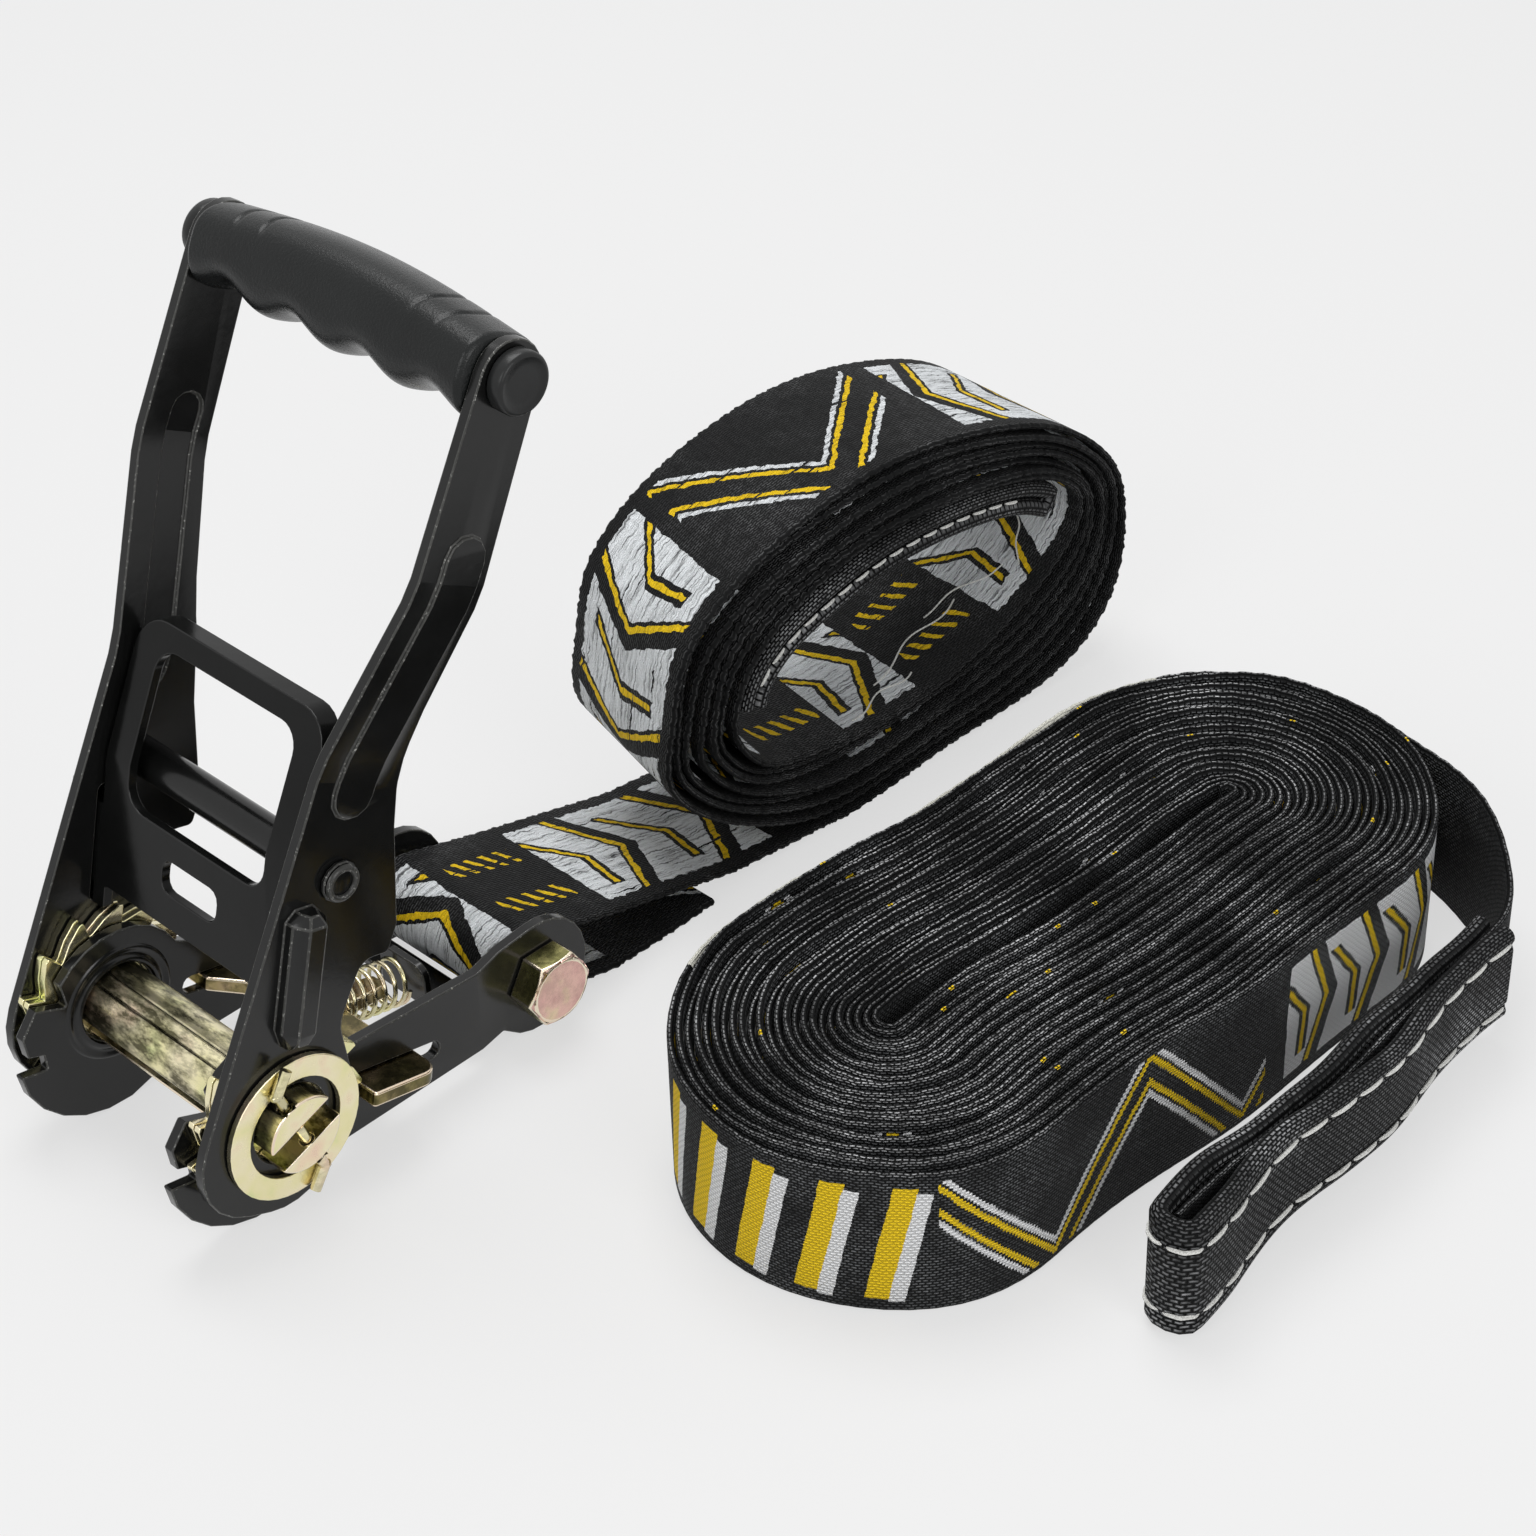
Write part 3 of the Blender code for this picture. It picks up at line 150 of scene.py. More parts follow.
# %% A kit for materials
def new_material(name):
    """A new material, its node tree and its Principled shader."""
    made = bpy.data.materials.new(name)
    made.use_nodes = True
    tree = made.node_tree
    return made, tree, tree.nodes["Principled BSDF"]


def object_point(tree, scale=(1, 1, 1)):
    """The point of the surface in the object's own metres, stretched by the scale."""
    place = added(tree, "TexCoord", {}).outputs["Object"]
    return added(tree, "Mapping", {"Vector": place, "Scale": scale}).outputs["Vector"]


def combined(tree, *values):
    """One vector from one or two numbers."""
    return added(tree, "CombineXYZ", dict(enumerate(values))).outputs[0]


def noise(tree, vector, scale, detail=2.0, rough=0.5):
    """A cloudy number near 0.5; on object_point, scale is about the number of clouds in a metre."""
    entries = {"Vector": vector, "Scale": scale, "Detail": detail, "Roughness": rough}
    return Value(tree, added(tree, "TexNoise", entries).outputs["Fac"])


def shaded(colour, share):
    return tuple(part * share for part in colour)


def ramp(tree, value, stops):
    """A colour that follows a number, through the stops (place, (r, g, b))."""
    node = added(tree, "ValToRGB", {"Fac": value})
    held = node.color_ramp.elements
    while len(held) < len(stops):
        held.new(0.5)
    for element, (place, colour) in zip(held, stops):
        element.position = place
        element.color = (*colour, 1)
    return node.outputs["Color"]


def mixed(tree, share, first, second):
    """One colour laid over another, by a share from 0 to 1."""
    return added(tree, "Mix", {"Factor": share, 6: first, 7: second}, data_type="RGBA").outputs[2]


def bump(tree, height, distance, strength=1.0):
    """Fine relief: a height from 0 to 1 tilts the light over the given distance in metres."""
    entries = {"Height": height, "Distance": distance, "Strength": strength}
    return added(tree, "Bump", entries).outputs["Normal"]


# %% [markdown]
# The steel plates wear a thick gloss paint. Up close it isn't even: it pools a little, dulls in patches and
# carries fine dust. Its sheared edge is ragged and rubbed through to bare steel in spots, and its paler colour
# is a painted highlight along the edge. A flat black would look like plastic, so three noises of unlike
# coarseness vary the colour, the gloss and the relief.

# %% Black paint, and its paler edge: wear and a painted highlight
BARE_STEEL = (0.46, 0.46, 0.43)


def painted_steel(name, base, roughness, bare=0.0, gloss=0.36):
    """Paint with slow patches and fine dust; bare is how much of it is rubbed through to the pale steel."""
    made, tree, shader = new_material(name)
    point = object_point(tree)
    patches = noise(tree, point, 38, 4, 0.6)
    dust = noise(tree, point, 900, 2, 0.5)
    chips = noise(tree, point, 1300, 3, 0.8)
    paint = ramp(tree, patches * 0.8 + dust * 0.2, [(0.35, shaded(base, 0.7)), (0.75, shaded(base, 1.5))])
    if bare:
        rubbed = ((chips - (0.72 - bare)) * 9.0).clamped()
        paint = mixed(tree, rubbed, paint, BARE_STEEL)
    fill(tree, shader, {
        "Base Color": paint, "Roughness": patches * 0.20 + (roughness - 0.08), "Specular IOR Level": gloss,
        "Normal": bump(tree, patches * 0.7 + dust * 0.06 + chips * bare, 0.0004, 0.4),
    })
    return made


black_paint = painted_steel("black_paint", (0.0070, 0.0072, 0.0070), 0.17)
# A darker, less glossy copy of the black paint: painted shade for the drive pawl.
paint_darkened_as_shade = painted_steel("paint_darkened_as_shade", (0.0050, 0.0052, 0.0050), 0.15, gloss=0.16)
# The edge's pale base colour is a painted highlight along the edge; its chips of bare steel are wear.
edge_highlight_and_wear = painted_steel("edge_highlight_and_wear", (0.040, 0.040, 0.037), 0.30, bare=0.13)

# %% [markdown]
# Yellow zinc is a thin passivated layer, so it shows the colours of an oil film: yellow, green and pink in
# soft clouds. A thin-film shader could work that out, but its colours are hard to steer. Here a slow noise
# picks the colour from a short list, and a fine stretched noise brushes it along the turning marks.

# %% Yellow zinc
def yellow_zinc(name, colours, brushed=(1, 1, 1), roughness=0.26, mottle=0.0, dull=(0.03, 0.028, 0.013)):
    """A cloud noise picks the film's colour, a stretched one brushes it and, with mottle, a third dulls it."""
    made, tree, shader = new_material(name)
    clouds = noise(tree, object_point(tree), 75, 2, 0.5)
    marks = noise(tree, object_point(tree, brushed), 300, 4, 0.65)
    film = ramp(tree, clouds * 0.88 + marks * 0.12, colours)
    if mottle:
        stain = noise(tree, object_point(tree, brushed), 170, 5, 0.7)
        film = mixed(tree, ((stain - 0.41) * 6.0).clamped() * mottle, film, dull)
    fill(tree, shader, {"Base Color": film, "Metallic": 1.0, "Roughness": marks * 0.26 + (roughness - 0.13),
                        "Normal": bump(tree, marks, 0.0002, 0.3)})
    return made


GOLD = [(0.30, (0.66, 0.74, 0.34)), (0.42, (0.86, 0.80, 0.46)), (0.55, (0.90, 0.82, 0.56)),
        (0.66, (0.90, 0.72, 0.52)), (0.76, (0.84, 0.58, 0.48))]
PINK = [(0.32, (0.58, 0.60, 0.28)), (0.42, (0.76, 0.62, 0.40)), (0.50, (0.76, 0.50, 0.42)),
        (0.62, (0.70, 0.42, 0.38)), (0.74, (0.66, 0.60, 0.34))]
BROWN = [(0.35, (0.16, 0.14, 0.05)), (0.50, (0.34, 0.27, 0.13)), (0.65, (0.44, 0.32, 0.20))]
OLIVE = [(0.35, (0.30, 0.32, 0.08)), (0.65, (0.66, 0.60, 0.26))]
PALE = [(0.35, (0.90, 0.72, 0.56)), (0.65, (0.86, 0.80, 0.62))]
zinc_turned = yellow_zinc("zinc_turned", GOLD, (0.45, 1, 1), 0.30, mottle=0.92, dull=(0.060, 0.056, 0.028))
zinc_flat = yellow_zinc("zinc_flat", GOLD, roughness=0.24)
zinc_pink = yellow_zinc("zinc_pink", PINK, roughness=0.24, mottle=0.2)
zinc_olive = yellow_zinc("zinc_olive", OLIVE, mottle=0.6)
zinc_dark = yellow_zinc("zinc_dark", BROWN, roughness=0.24, mottle=0.7)
zinc_pale = yellow_zinc("zinc_pale", PALE, roughness=0.22)
zinc_wire = yellow_zinc("zinc_wire", GOLD, (1, 0.3, 1), 0.20, mottle=0.35)
print("materials so far:", len(bpy.data.materials))

# %% [markdown]
# No sheared or turned edge is truly sharp, and it is the thin bright line along it that makes a plate look
# like steel. Smooth shading alone wouldn't catch the light, so each node's copy gets a narrow bevel, whose
# faces take the second material. On the plates that material is a paler paint: a painted highlight along the
# edge, with chips of bare steel as wear.

# %% Dressing a CAD node with bevelled edges
BODY_OF = {node: body for body, nodes in frame["record"]["behaviour"]["bodies"].items() for node in nodes}
FINE_RIM = 0.0003


def dressed(node, look, edge, width=0.0004, angle=32, ends=None):
    """A copy of the CAD node, merged and cleaned, with the edges sharper than angle rounded to width; ends is
    the look of the faces that look along the axles."""
    bm = bmesh.new()
    bm.from_mesh(frame["nodes"][node].data)
    bmesh.ops.remove_doubles(bm, verts=bm.verts[:], dist=1e-5)
    bmesh.ops.dissolve_limit(bm, angle_limit=math.radians(1.5), verts=bm.verts[:], edges=bm.edges[:])
    mesh = bpy.data.meshes.new(f"{node}_dressed")
    bm.to_mesh(mesh)
    bm.free()
    mesh.materials.clear()
    for material in (look, edge, ends or look):
        mesh.materials.append(material)
    for polygon in mesh.polygons:
        polygon.material_index = 2 if abs(polygon.normal.x) > 0.8 else 0
    mesh.shade_smooth()
    mesh.set_sharp_from_angle(angle=math.radians(angle))
    made = placed(f"{node}_dressed", mesh)
    rim = made.modifiers.new("rim", "BEVEL")
    rim.width = width
    rim.segments = 2
    rim.limit_method = "ANGLE"
    rim.angle_limit = math.radians(angle)
    rim.use_clamp_overlap = False
    rim.harden_normals = True
    rim.material = 1
    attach(made, BODY_OF[node])
    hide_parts(node)
    print(f"{node}: {len(mesh.polygons)} faces before its bevel")


# %% [markdown]
# The plates, the rivet and its tube are painted. The drive pawl wears a darker, less glossy copy of the same
# paint, a painted shade. What turns or clamps is zinc plated, in unlike tints, as parts from unlike batches
# are.

# %% The rigid pieces
for node in ("frame_plate_near", "frame_plate_far", "frame_bridge", "handle_plate_near", "handle_plate_far",
             "handle_rivet", "handle_tube"):
    dressed(node, black_paint, edge_highlight_and_wear)
dressed("drive_pawl", paint_darkened_as_shade, black_paint, FINE_RIM)
for node in ("wheel_near_inner", "wheel_near_outer", "wheel_far_inner", "wheel_far_outer",
             "reel_washer_near", "reel_washer_far", "bolt_washer", "bolt_nut"):
    dressed(node, zinc_flat, zinc_flat, FINE_RIM)
for node in ("reel_half_a", "reel_half_b"):
    dressed(node, zinc_turned, zinc_pale, 0.0005, ends=zinc_flat)
dressed("lock_pawl", zinc_dark, zinc_pale, 0.0006)
dressed("strap_bolt", zinc_olive, zinc_pale, 0.0005, angle=25, ends=zinc_pink)

# %% [markdown]
# Round and wound pieces are surfaces worked out with numpy. One helper turns a grid of points into a mesh;
# the grid closes on itself round the section, and at its ends it gets caps or closes into a ring. It also
# carries named numbers, such as the place along a strap, on the points, so that a weave can follow the cloth.

# %% A grid of points becomes a mesh
SMOOTH_UP_TO = math.radians(50)


def grid_piece(name, points, look, body, nodes=(), slot=None, ends="caps", **numbers):
    """Faces between the neighbouring points of one (n, m, 3) grid, or of many in a (k, n, m, 3) block."""
    block = points if points.ndim == 4 else points[None]
    k, n, m = block.shape[:3]
    index = np.arange(k * n * m).reshape(k, n, m)
    rows = np.concatenate([index, index[:, :1]], 1) if ends == "closed" else index
    rows = np.concatenate([rows, rows[:, :, :1]], 2)
    corners = rows[:, :-1, :-1], rows[:, :-1, 1:], rows[:, 1:, 1:], rows[:, 1:, :-1]
    quads = np.stack(corners, -1).reshape(-1, 4)
    loops, sizes = [quads.reshape(-1)], [np.full(len(quads), 4)]
    if ends == "caps":
        loops += [index[:, 0, ::-1].reshape(-1), index[:, -1].reshape(-1)]
        sizes += [np.full(2 * k, m)]
    loops, sizes = np.concatenate(loops), np.concatenate(sizes)
    mesh = bpy.data.meshes.new(name)
    mesh.vertices.add(k * n * m)
    mesh.vertices.foreach_set("co", block.reshape(-1).astype(np.float32))
    mesh.loops.add(len(loops))
    mesh.loops.foreach_set("vertex_index", loops.astype(np.int32))
    mesh.polygons.add(len(sizes))
    mesh.polygons.foreach_set("loop_start", (np.cumsum(sizes) - sizes).astype(np.int32))
    mesh.update(calc_edges=True)
    for key, value in numbers.items():
        held = mesh.attributes.new(key, "FLOAT_VECTOR", "POINT")
        held.data.foreach_set("vector", value.reshape(-1).astype(np.float32))
    bm = bmesh.new()
    bm.from_mesh(mesh)
    if bm.calc_volume(signed=True) < 0:
        bmesh.ops.reverse_faces(bm, faces=bm.faces[:])
    bm.to_mesh(mesh)
    bm.free()
    mesh.shade_smooth()
    mesh.set_sharp_from_angle(angle=SMOOTH_UP_TO)
    mesh.materials.append(look)
    made = placed(name, mesh)
    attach(made, body)
    if nodes:
        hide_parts(*nodes)
    print(f"{name}: {len(mesh.polygons)} faces")
    return made


# %% Paths, and a bar along one
def unit(vectors):
    """The same directions, each a vector of length 1."""
    return vectors / np.linalg.norm(vectors, axis=-1, keepdims=True)


def directions(path):
    """The unit direction of a path at each of its points, from its neighbours."""
    return unit(np.gradient(path, axis=0))


def lengths_along(path):
    """How far along the path each of its points lies: the running sum of the steps between them."""
    return np.concatenate([[0], np.cumsum(np.linalg.norm(np.diff(path, axis=0), axis=1))])


def evenly(path, step):
    """The same path with its points a step apart."""
    along = lengths_along(path)
    places = np.linspace(0, along[-1], max(2, int(along[-1] / step)))
    return np.stack([np.interp(places, along, path[:, k]) for k in range(path.shape[1])], 1)


def around_circle(count):
    return np.linspace(0, 2 * np.pi, count, endpoint=False)


def tube(path, radius, sides=10):
    """A round bar: a circle carried along the path. Each section's side is the last one's, made square to the
    path again, so the bar doesn't twist."""
    run = directions(path)
    side = np.cross(run[0], (0.31, 0.52, 0.79))
    sides_at = []
    for direction in run:
        side = unit(side - direction * (side @ direction))
        sides_at.append(side)
    first = np.array(sides_at)
    second = np.cross(run, first)
    turn = around_circle(sides)[None, :, None]
    return path[:, None] + radius * (first[:, None] * np.cos(turn) + second[:, None] * np.sin(turn))


def catmull_rom(p0, p1, p2, p3, t):
    """The cubic from p1 to p2 as t goes from 0 to 1, its slopes set by the points on either side."""
    return (2 * p1 + (p2 - p0) * t + (2 * p0 - 5 * p1 + 4 * p2 - p3) * t ** 2
            + (3 * p1 - 3 * p2 + p3 - p0) * t ** 3) / 2


def smooth_path(points, steps=10):
    """A curve through the points, with a cubic for each stretch."""
    p = np.vstack([2 * points[:1] - points[1:2], points, 2 * points[-1:] - points[-2:-1]])
    t = np.linspace(0, 1, steps, endpoint=False)[:, None]
    return np.vstack([catmull_rom(*p[k:k + 4], t) for k in range(len(points) - 1)] + [points[-1:]])


# %% [markdown]
# Directions on the ratchet are easiest in turned frames: the reel's, the handle's and the lock pawl's. In
# each one, a runs from the reel's axis along the piece, b is square to it, and X is the axis itself.

# %% Turned frames
AXIS_HEIGHT = 0.030
HANDLE_ANGLE, REEL_ANGLE, LOCK_ANGLE = 62.0, 20.5, -12.3
SIDES = (("near", 1), ("far", -1))
ROUND_SIDES = 48


def turned(x, a, b, angle):
    """Points from a turned frame about the reel's axis, in world metres."""
    c, s = math.cos(math.radians(angle)), math.sin(math.radians(angle))
    x, a, b = np.broadcast_arrays(x, a, b)
    return np.stack([x, a * c - b * s, AXIS_HEIGHT + a * s + b * c], -1)


def revolved(profile, centre_a, centre_b, angle, side):
    """A profile of (x, radius) points turned about a line along X."""
    turn = around_circle(ROUND_SIDES)[None, :]
    x, radius = np.array(profile).T[:, :, None]
    return turned(side * x, centre_a + radius * np.cos(turn), centre_b + radius * np.sin(turn), angle)


# %% [markdown]
# The grip is moulded plastic: a soft box with a crowned top and four finger hollows below. On a subdivided
# box the hollows would be hard to place, so its section is a superellipse, whose power sets how square it
# looks, and the hollows are a cosine along it.

# %% Moulded plastic
def moulded_plastic(name, base, roughness, grain):
    """Plastic with a fine skin of the mould, grain deep, and slow patches of gloss."""
    made, tree, shader = new_material(name)
    point = object_point(tree)
    skin = noise(tree, point, 1500, 3, 0.6)
    patches = noise(tree, point, 45, 3, 0.6)
    colour = ramp(tree, patches, [(0.3, shaded(base, 0.8)), (0.7, shaded(base, 1.25))])
    fill(tree, shader, {
        "Base Color": colour, "Roughness": skin * 0.10 + patches * 0.12 + (roughness - 0.11),
        "Specular IOR Level": 0.26, "Normal": bump(tree, skin, grain, 0.5),
    })
    return made


grip_plastic = moulded_plastic("grip_plastic", (0.0075, 0.0085, 0.0085), 0.27, 0.00026)
cap_plastic = moulded_plastic("cap_plastic", (0.013, 0.0135, 0.0135), 0.30, 0.00006)

# %% Grip
GRIP_REACH, GRIP_OFFSET, GRIP_HALF = 0.185, 0.0144, 0.0463
CROWN_AT_ENDS, CROWN_RISE = 0.0086, 0.0037
BELOW_MEAN, FINGER_WAVE, FINGER_WAVES = 0.0100, 0.0016, 4
HALF_ACROSS, SECTION_POWER = 0.0118, 0.8
GROOVES_AT, GROOVE_DEPTH, GROOVE_WIDTH, CHEVRON = (0.0275, 0.0360), 0.00055, 0.00065, 0.0030


def grip_surface(rows=401, columns=96):
    """Section height is a crown above and a cosine of four waves below; the ends draw in, and two pairs of
    shallow grooves, which bend like a chevron, cross the crown near each end."""
    share = np.linspace(-1, 1, rows)[:, None]
    turn = around_circle(columns)[None, :]
    c, s = np.cos(turn), np.sin(turn)
    crown = CROWN_AT_ENDS + CROWN_RISE * np.cos(share * np.pi / 2)
    below = BELOW_MEAN + FINGER_WAVE * np.cos(share * FINGER_WAVES * np.pi)
    reach = np.where(c > 0, crown, below)
    ease = 1 - 0.10 * np.clip((np.abs(share) - 0.965) / 0.035, 0, 1) ** 2
    top = np.clip((c - 0.45) / 0.2, 0, 1)
    bent = np.abs(share) * GRIP_HALF + CHEVRON * np.abs(s - 0.15)
    groove = GROOVE_DEPTH * top * sum(np.exp(-((bent - place) / GROOVE_WIDTH) ** 2) for place in GROOVES_AT)
    along = (reach * ease - groove) * np.sign(c) * np.abs(c) ** SECTION_POWER
    across = HALF_ACROSS * np.sign(s) * np.abs(s) ** SECTION_POWER * ease
    return turned(share * GRIP_HALF, GRIP_REACH + along, GRIP_OFFSET + across, HANDLE_ANGLE)


grid_piece("grip_moulded", grip_surface(), grip_plastic, "handle", ["grip"], "grip_plastic")

# %% [markdown]
# A round plug closes each end of the grip. It is turned from a profile, which rounds its rim and leaves the
# shallow step and flat middle of a moulded plug.

# %% End caps
CAP = [(0, 0.0071), (0.0004, 0.0074), (0.0034, 0.0074), (0.0040, 0.0071), (0.0042, 0.0066), (0.0042, 0.0062),
       (0.0040, 0.0059), (0.0040, 0.0040), (0.0041, 0.0020), (0.0041, 0.0002)]
seat_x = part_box("grip_cap_near")[0].x
for name, side in SIDES:
    plug = revolved([(seat_x + x, r) for x, r in CAP], GRIP_REACH, GRIP_OFFSET, HANDLE_ANGLE, side)
    grid_piece(f"grip_cap_{name}_round", plug, cap_plastic, "handle", [f"grip_cap_{name}"], "cap_plastic")

# %% [markdown]
# The lock pawl's spring is hard wire wound as a helix. A rigid one would poke out of its seat when the pawl
# slides.

# %% Lock spring
SPRING_START, SPRING_END, SPRING_OFFSET = 0.0452, 0.0648, -0.00294
SPRING_RADIUS, SPRING_CURLS, SPRING_WIRE = 0.0060, 7, 0.0006


def spring_path():
    """A helix about the pawl's axis, its first and last half curl closed up."""
    t = np.linspace(0, SPRING_CURLS, SPRING_CURLS * 26)
    ease = np.clip(t / SPRING_CURLS * 1.16 - 0.08, 0, 1)
    a = SPRING_START + (SPRING_END - SPRING_START) * ease
    turn = 2 * np.pi * t
    x, b = SPRING_RADIUS * np.cos(turn), SPRING_OFFSET + SPRING_RADIUS * np.sin(turn)
    return turned(x, a, b, LOCK_ANGLE)


spring = grid_piece("lock_spring_wire", tube(spring_path(), SPRING_WIRE), zinc_wire, "frame", ["lock_spring"],
                    "yellow_zinc")
seat, toe = (turned(0, a, SPRING_OFFSET, LOCK_ANGLE) for a in (SPRING_END, SPRING_START))
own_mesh(spring)

# %% [markdown]
# The press leaves a raised ring round the reel's hole, and the hollow rivet is rolled over at both ends. Each
# is a short profile turned about its axle.

# %% Pressed rings and the rivet's rolled ends
COLLAR = [(0.0269, 0.0108), (0.0262, 0.0112), (0.0261, 0.0118), (0.0264, 0.0124), (0.0269, 0.0130),
          (0.02695, 0.0138), (0.0264, 0.0144), (0.0264, 0.0150), (0.0270, 0.0156), (0.0272, 0.0130)]
ROLLED = [(0, 0.0030), (0.0006, 0.0031), (0.0009, 0.0036), (0.0009, 0.0041), (0.0005, 0.0046), (0, 0.0048),
          (-0.0003, 0.0040)]
RIVET_REACH, RIVET_OFFSET = 0.0622, 0.0086
rivet_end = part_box("handle_rivet")[1].x
for name, side in SIDES:
    grid_piece(f"reel_collar_{name}", revolved(COLLAR, 0, 0, 0, side), black_paint, "frame",
               slot="black_paint", ends="closed")
# The rivet's rolled ends wear the paler edge paint: wear and a painted highlight together.
for name, side in SIDES:
    roll = revolved([(rivet_end + x, r) for x, r in ROLLED], RIVET_REACH, RIVET_OFFSET, HANDLE_ANGLE, side)
    grid_piece(f"rivet_roll_{name}", roll, edge_highlight_and_wear, "handle", slot="black_paint", ends="closed")

# %% [markdown]
# The cotter pins are bent wire with sharp elbows. Two points close to each elbow keep its arc short.

# %% Cotter pins
COTTER_HALF, COTTER_LEG, COTTER_BEND, COTTER_WIRE = 0.0145, 0.0068, math.radians(-50), 0.0014


def cotter_path(x):
    """A straight bar through the shafts with a leg bent over at each end, the second turned half round."""
    leg = (-COTTER_LEG * math.sin(COTTER_BEND), COTTER_HALF + COTTER_LEG * math.cos(COTTER_BEND))
    half = np.array([(0, COTTER_HALF - 0.0005), (0, COTTER_HALF + 0.0004), leg])
    flat = smooth_path(np.vstack([-half[::-1], [(0, 0)], half]), 6)
    return turned(x, flat[:, 0], flat[:, 1], REEL_ANGLE)


for name, _ in SIDES:
    low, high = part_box(f"cotter_{name}")
    wire = tube(cotter_path((low.x + high.x) / 2), COTTER_WIRE, 14)
    grid_piece(f"cotter_{name}_wire", wire, zinc_wire, "reel", [f"cotter_{name}"], "bright_steel")

# %% [markdown]
# Webbing is a flat band. Each band here is carried along its path as a rounded section, and three numbers
# ride on every point: the place along the band, across it and through it. The weave, the print and the painted
# highlight dashes on its rim are formulas of these three, so they bend with the cloth.

# %% A band along a path
def band(near, far, thickness, corner, flats, groove=None):
    """A rounded section carried from the near edge's path to the far edge's; groove is the (place, depth,
    width) of the seams that draw both faces in. Returns points and numbers."""
    centre = (near + far) / 2
    across = far - near
    width = np.linalg.norm(across, axis=1, keepdims=True)
    across = across / width
    normal = unit(np.cross(directions(centre), across))
    half = thickness / 2
    turn = np.linspace(-np.pi / 2, np.pi / 2, corner)
    round_s, round_t = half * np.cos(turn), half * np.sin(turn)
    w = float(width.mean()) / 2
    middle = np.linspace(-1, 1, flats + 2)[1:-1] * (w - half)
    s = np.concatenate([w - half + round_s, -middle, -(w - half) - round_s, middle])
    faces = np.full(flats, half)
    if groove:
        seam_at, depth, wide = groove
        faces -= depth * np.exp(-((np.abs(middle) - seam_at) / wide) ** 2)
    t = np.concatenate([round_t, faces, -round_t, -faces])
    scale = width / (2 * w)
    points = centre[:, None] + across[:, None] * (s[None, :, None] * scale[:, None])
    points = points + normal[:, None] * t[None, :, None]
    numbers = np.stack(np.broadcast_arrays(lengths_along(centre)[:, None], s[None, :], t[None, :]), -1)
    return points, numbers


def waves(x, *terms):
    """A sum of sines: each term is (height, radians for each unit of x, phase)."""
    return sum(height * np.sin(x * rate + phase) for height, rate, phase in terms)


def eased(x):
    """From 0 to 1 as x does, with a soft start and end: three times its square less twice its cube."""
    x = np.clip(x, 0, 1)
    return x ** 2 * (3 - 2 * x)


# %% [markdown]
# Webbing's threads show as short bright dashes on black: the light caught on each thread's top, painted here
# as pale colour. A picture of cloth would blur up close. The weave is two rows of threads, each shifted by
# half a thread, so bricks laid in half bond give its relief.

# %% Weave
def weave(tree, along, across, cell, row):
    """Bricks in half bond, cell by row in metres. Returns how high a thread stands, and a grain along it."""
    place = combined(tree, along / cell, across / cell)
    entries = {"Vector": place, "Scale": 1.0, "Mortar Size": 0.22, "Mortar Smooth": 1.0, "Brick Width": 1.0,
               "Row Height": row / cell}
    brick = added(tree, "TexBrick", entries, offset=0.5)
    return Value(tree, brick.outputs["Fac"]) * -1 + 1, noise(tree, place, 0.9, 3, 0.65)


# %% [markdown]
# On the long line the pattern is woven in, so it steps from row to row. On the strap it is sewn on, with long
# stitches along the band that shine unevenly and leave gaps. Both are masks, which cost no faces.

# %% Pattern over the cloth
WOVEN_STEP = 0.0009
STROKES_ALONG, STROKES_ACROSS = 70, 1300
SEWN = {"white": ((0.36, 0.15), (0.46, 0.8), (0.56, 1)), "yellow": ((0.30, 0.30), (0.50, 1)), "frayed": 0.34}
WOVEN = {"white": ((0.0, 0.60), (0.5, 1)), "yellow": ((0.0, 0.60), (0.5, 1)), "frayed": 0.28}


def patterned(tree, along, across, cloth, lift, pattern, embroidered, white, yellow):
    """White and yellow thread laid over the cloth by the pattern's masks, whose outlines shake a little.
    Returns the colour and the height."""
    shake = 0.0022 if embroidered else 0.0010
    strays = (noise(tree, object_point(tree), scale, 3, 0.6) for scale in (270, 330))
    sewn_a, sewn_b = (place + (stray - 0.5) * shake for place, stray in zip((along, across), strays))
    if not embroidered:
        sewn_b = (sewn_b / WOVEN_STEP).floor() * WOVEN_STEP + WOVEN_STEP / 2
    white_mask, yellow_mask = pattern(sewn_a, sewn_b)
    streak = combined(tree, sewn_a * STROKES_ALONG, sewn_b * STROKES_ACROSS)
    strokes = noise(tree, streak, 1.0, 3, 0.7)
    look, shade = (SEWN, strokes) if embroidered else (WOVEN, lift)
    unbroken = noise(tree, streak, 0.30, 2, 0.6) > look["frayed"]
    for mask, colour, key in ((white_mask, white, "white"), (yellow_mask, yellow, "yellow")):
        thread = ramp(tree, shade, [(place, shaded(colour, share)) for place, share in look[key]])
        cloth = mixed(tree, mask * unbroken, cloth, thread)
    if embroidered:
        return cloth, lift * 0.7 + white_mask.either(yellow_mask) * (strokes * 1.4 + 0.6)
    return cloth, lift


# %% Webbing material
SPECK_ABOVE, EDGE_YARN = 0.9968, 0.0009
CREAM = (0.82, 0.81, 0.72)


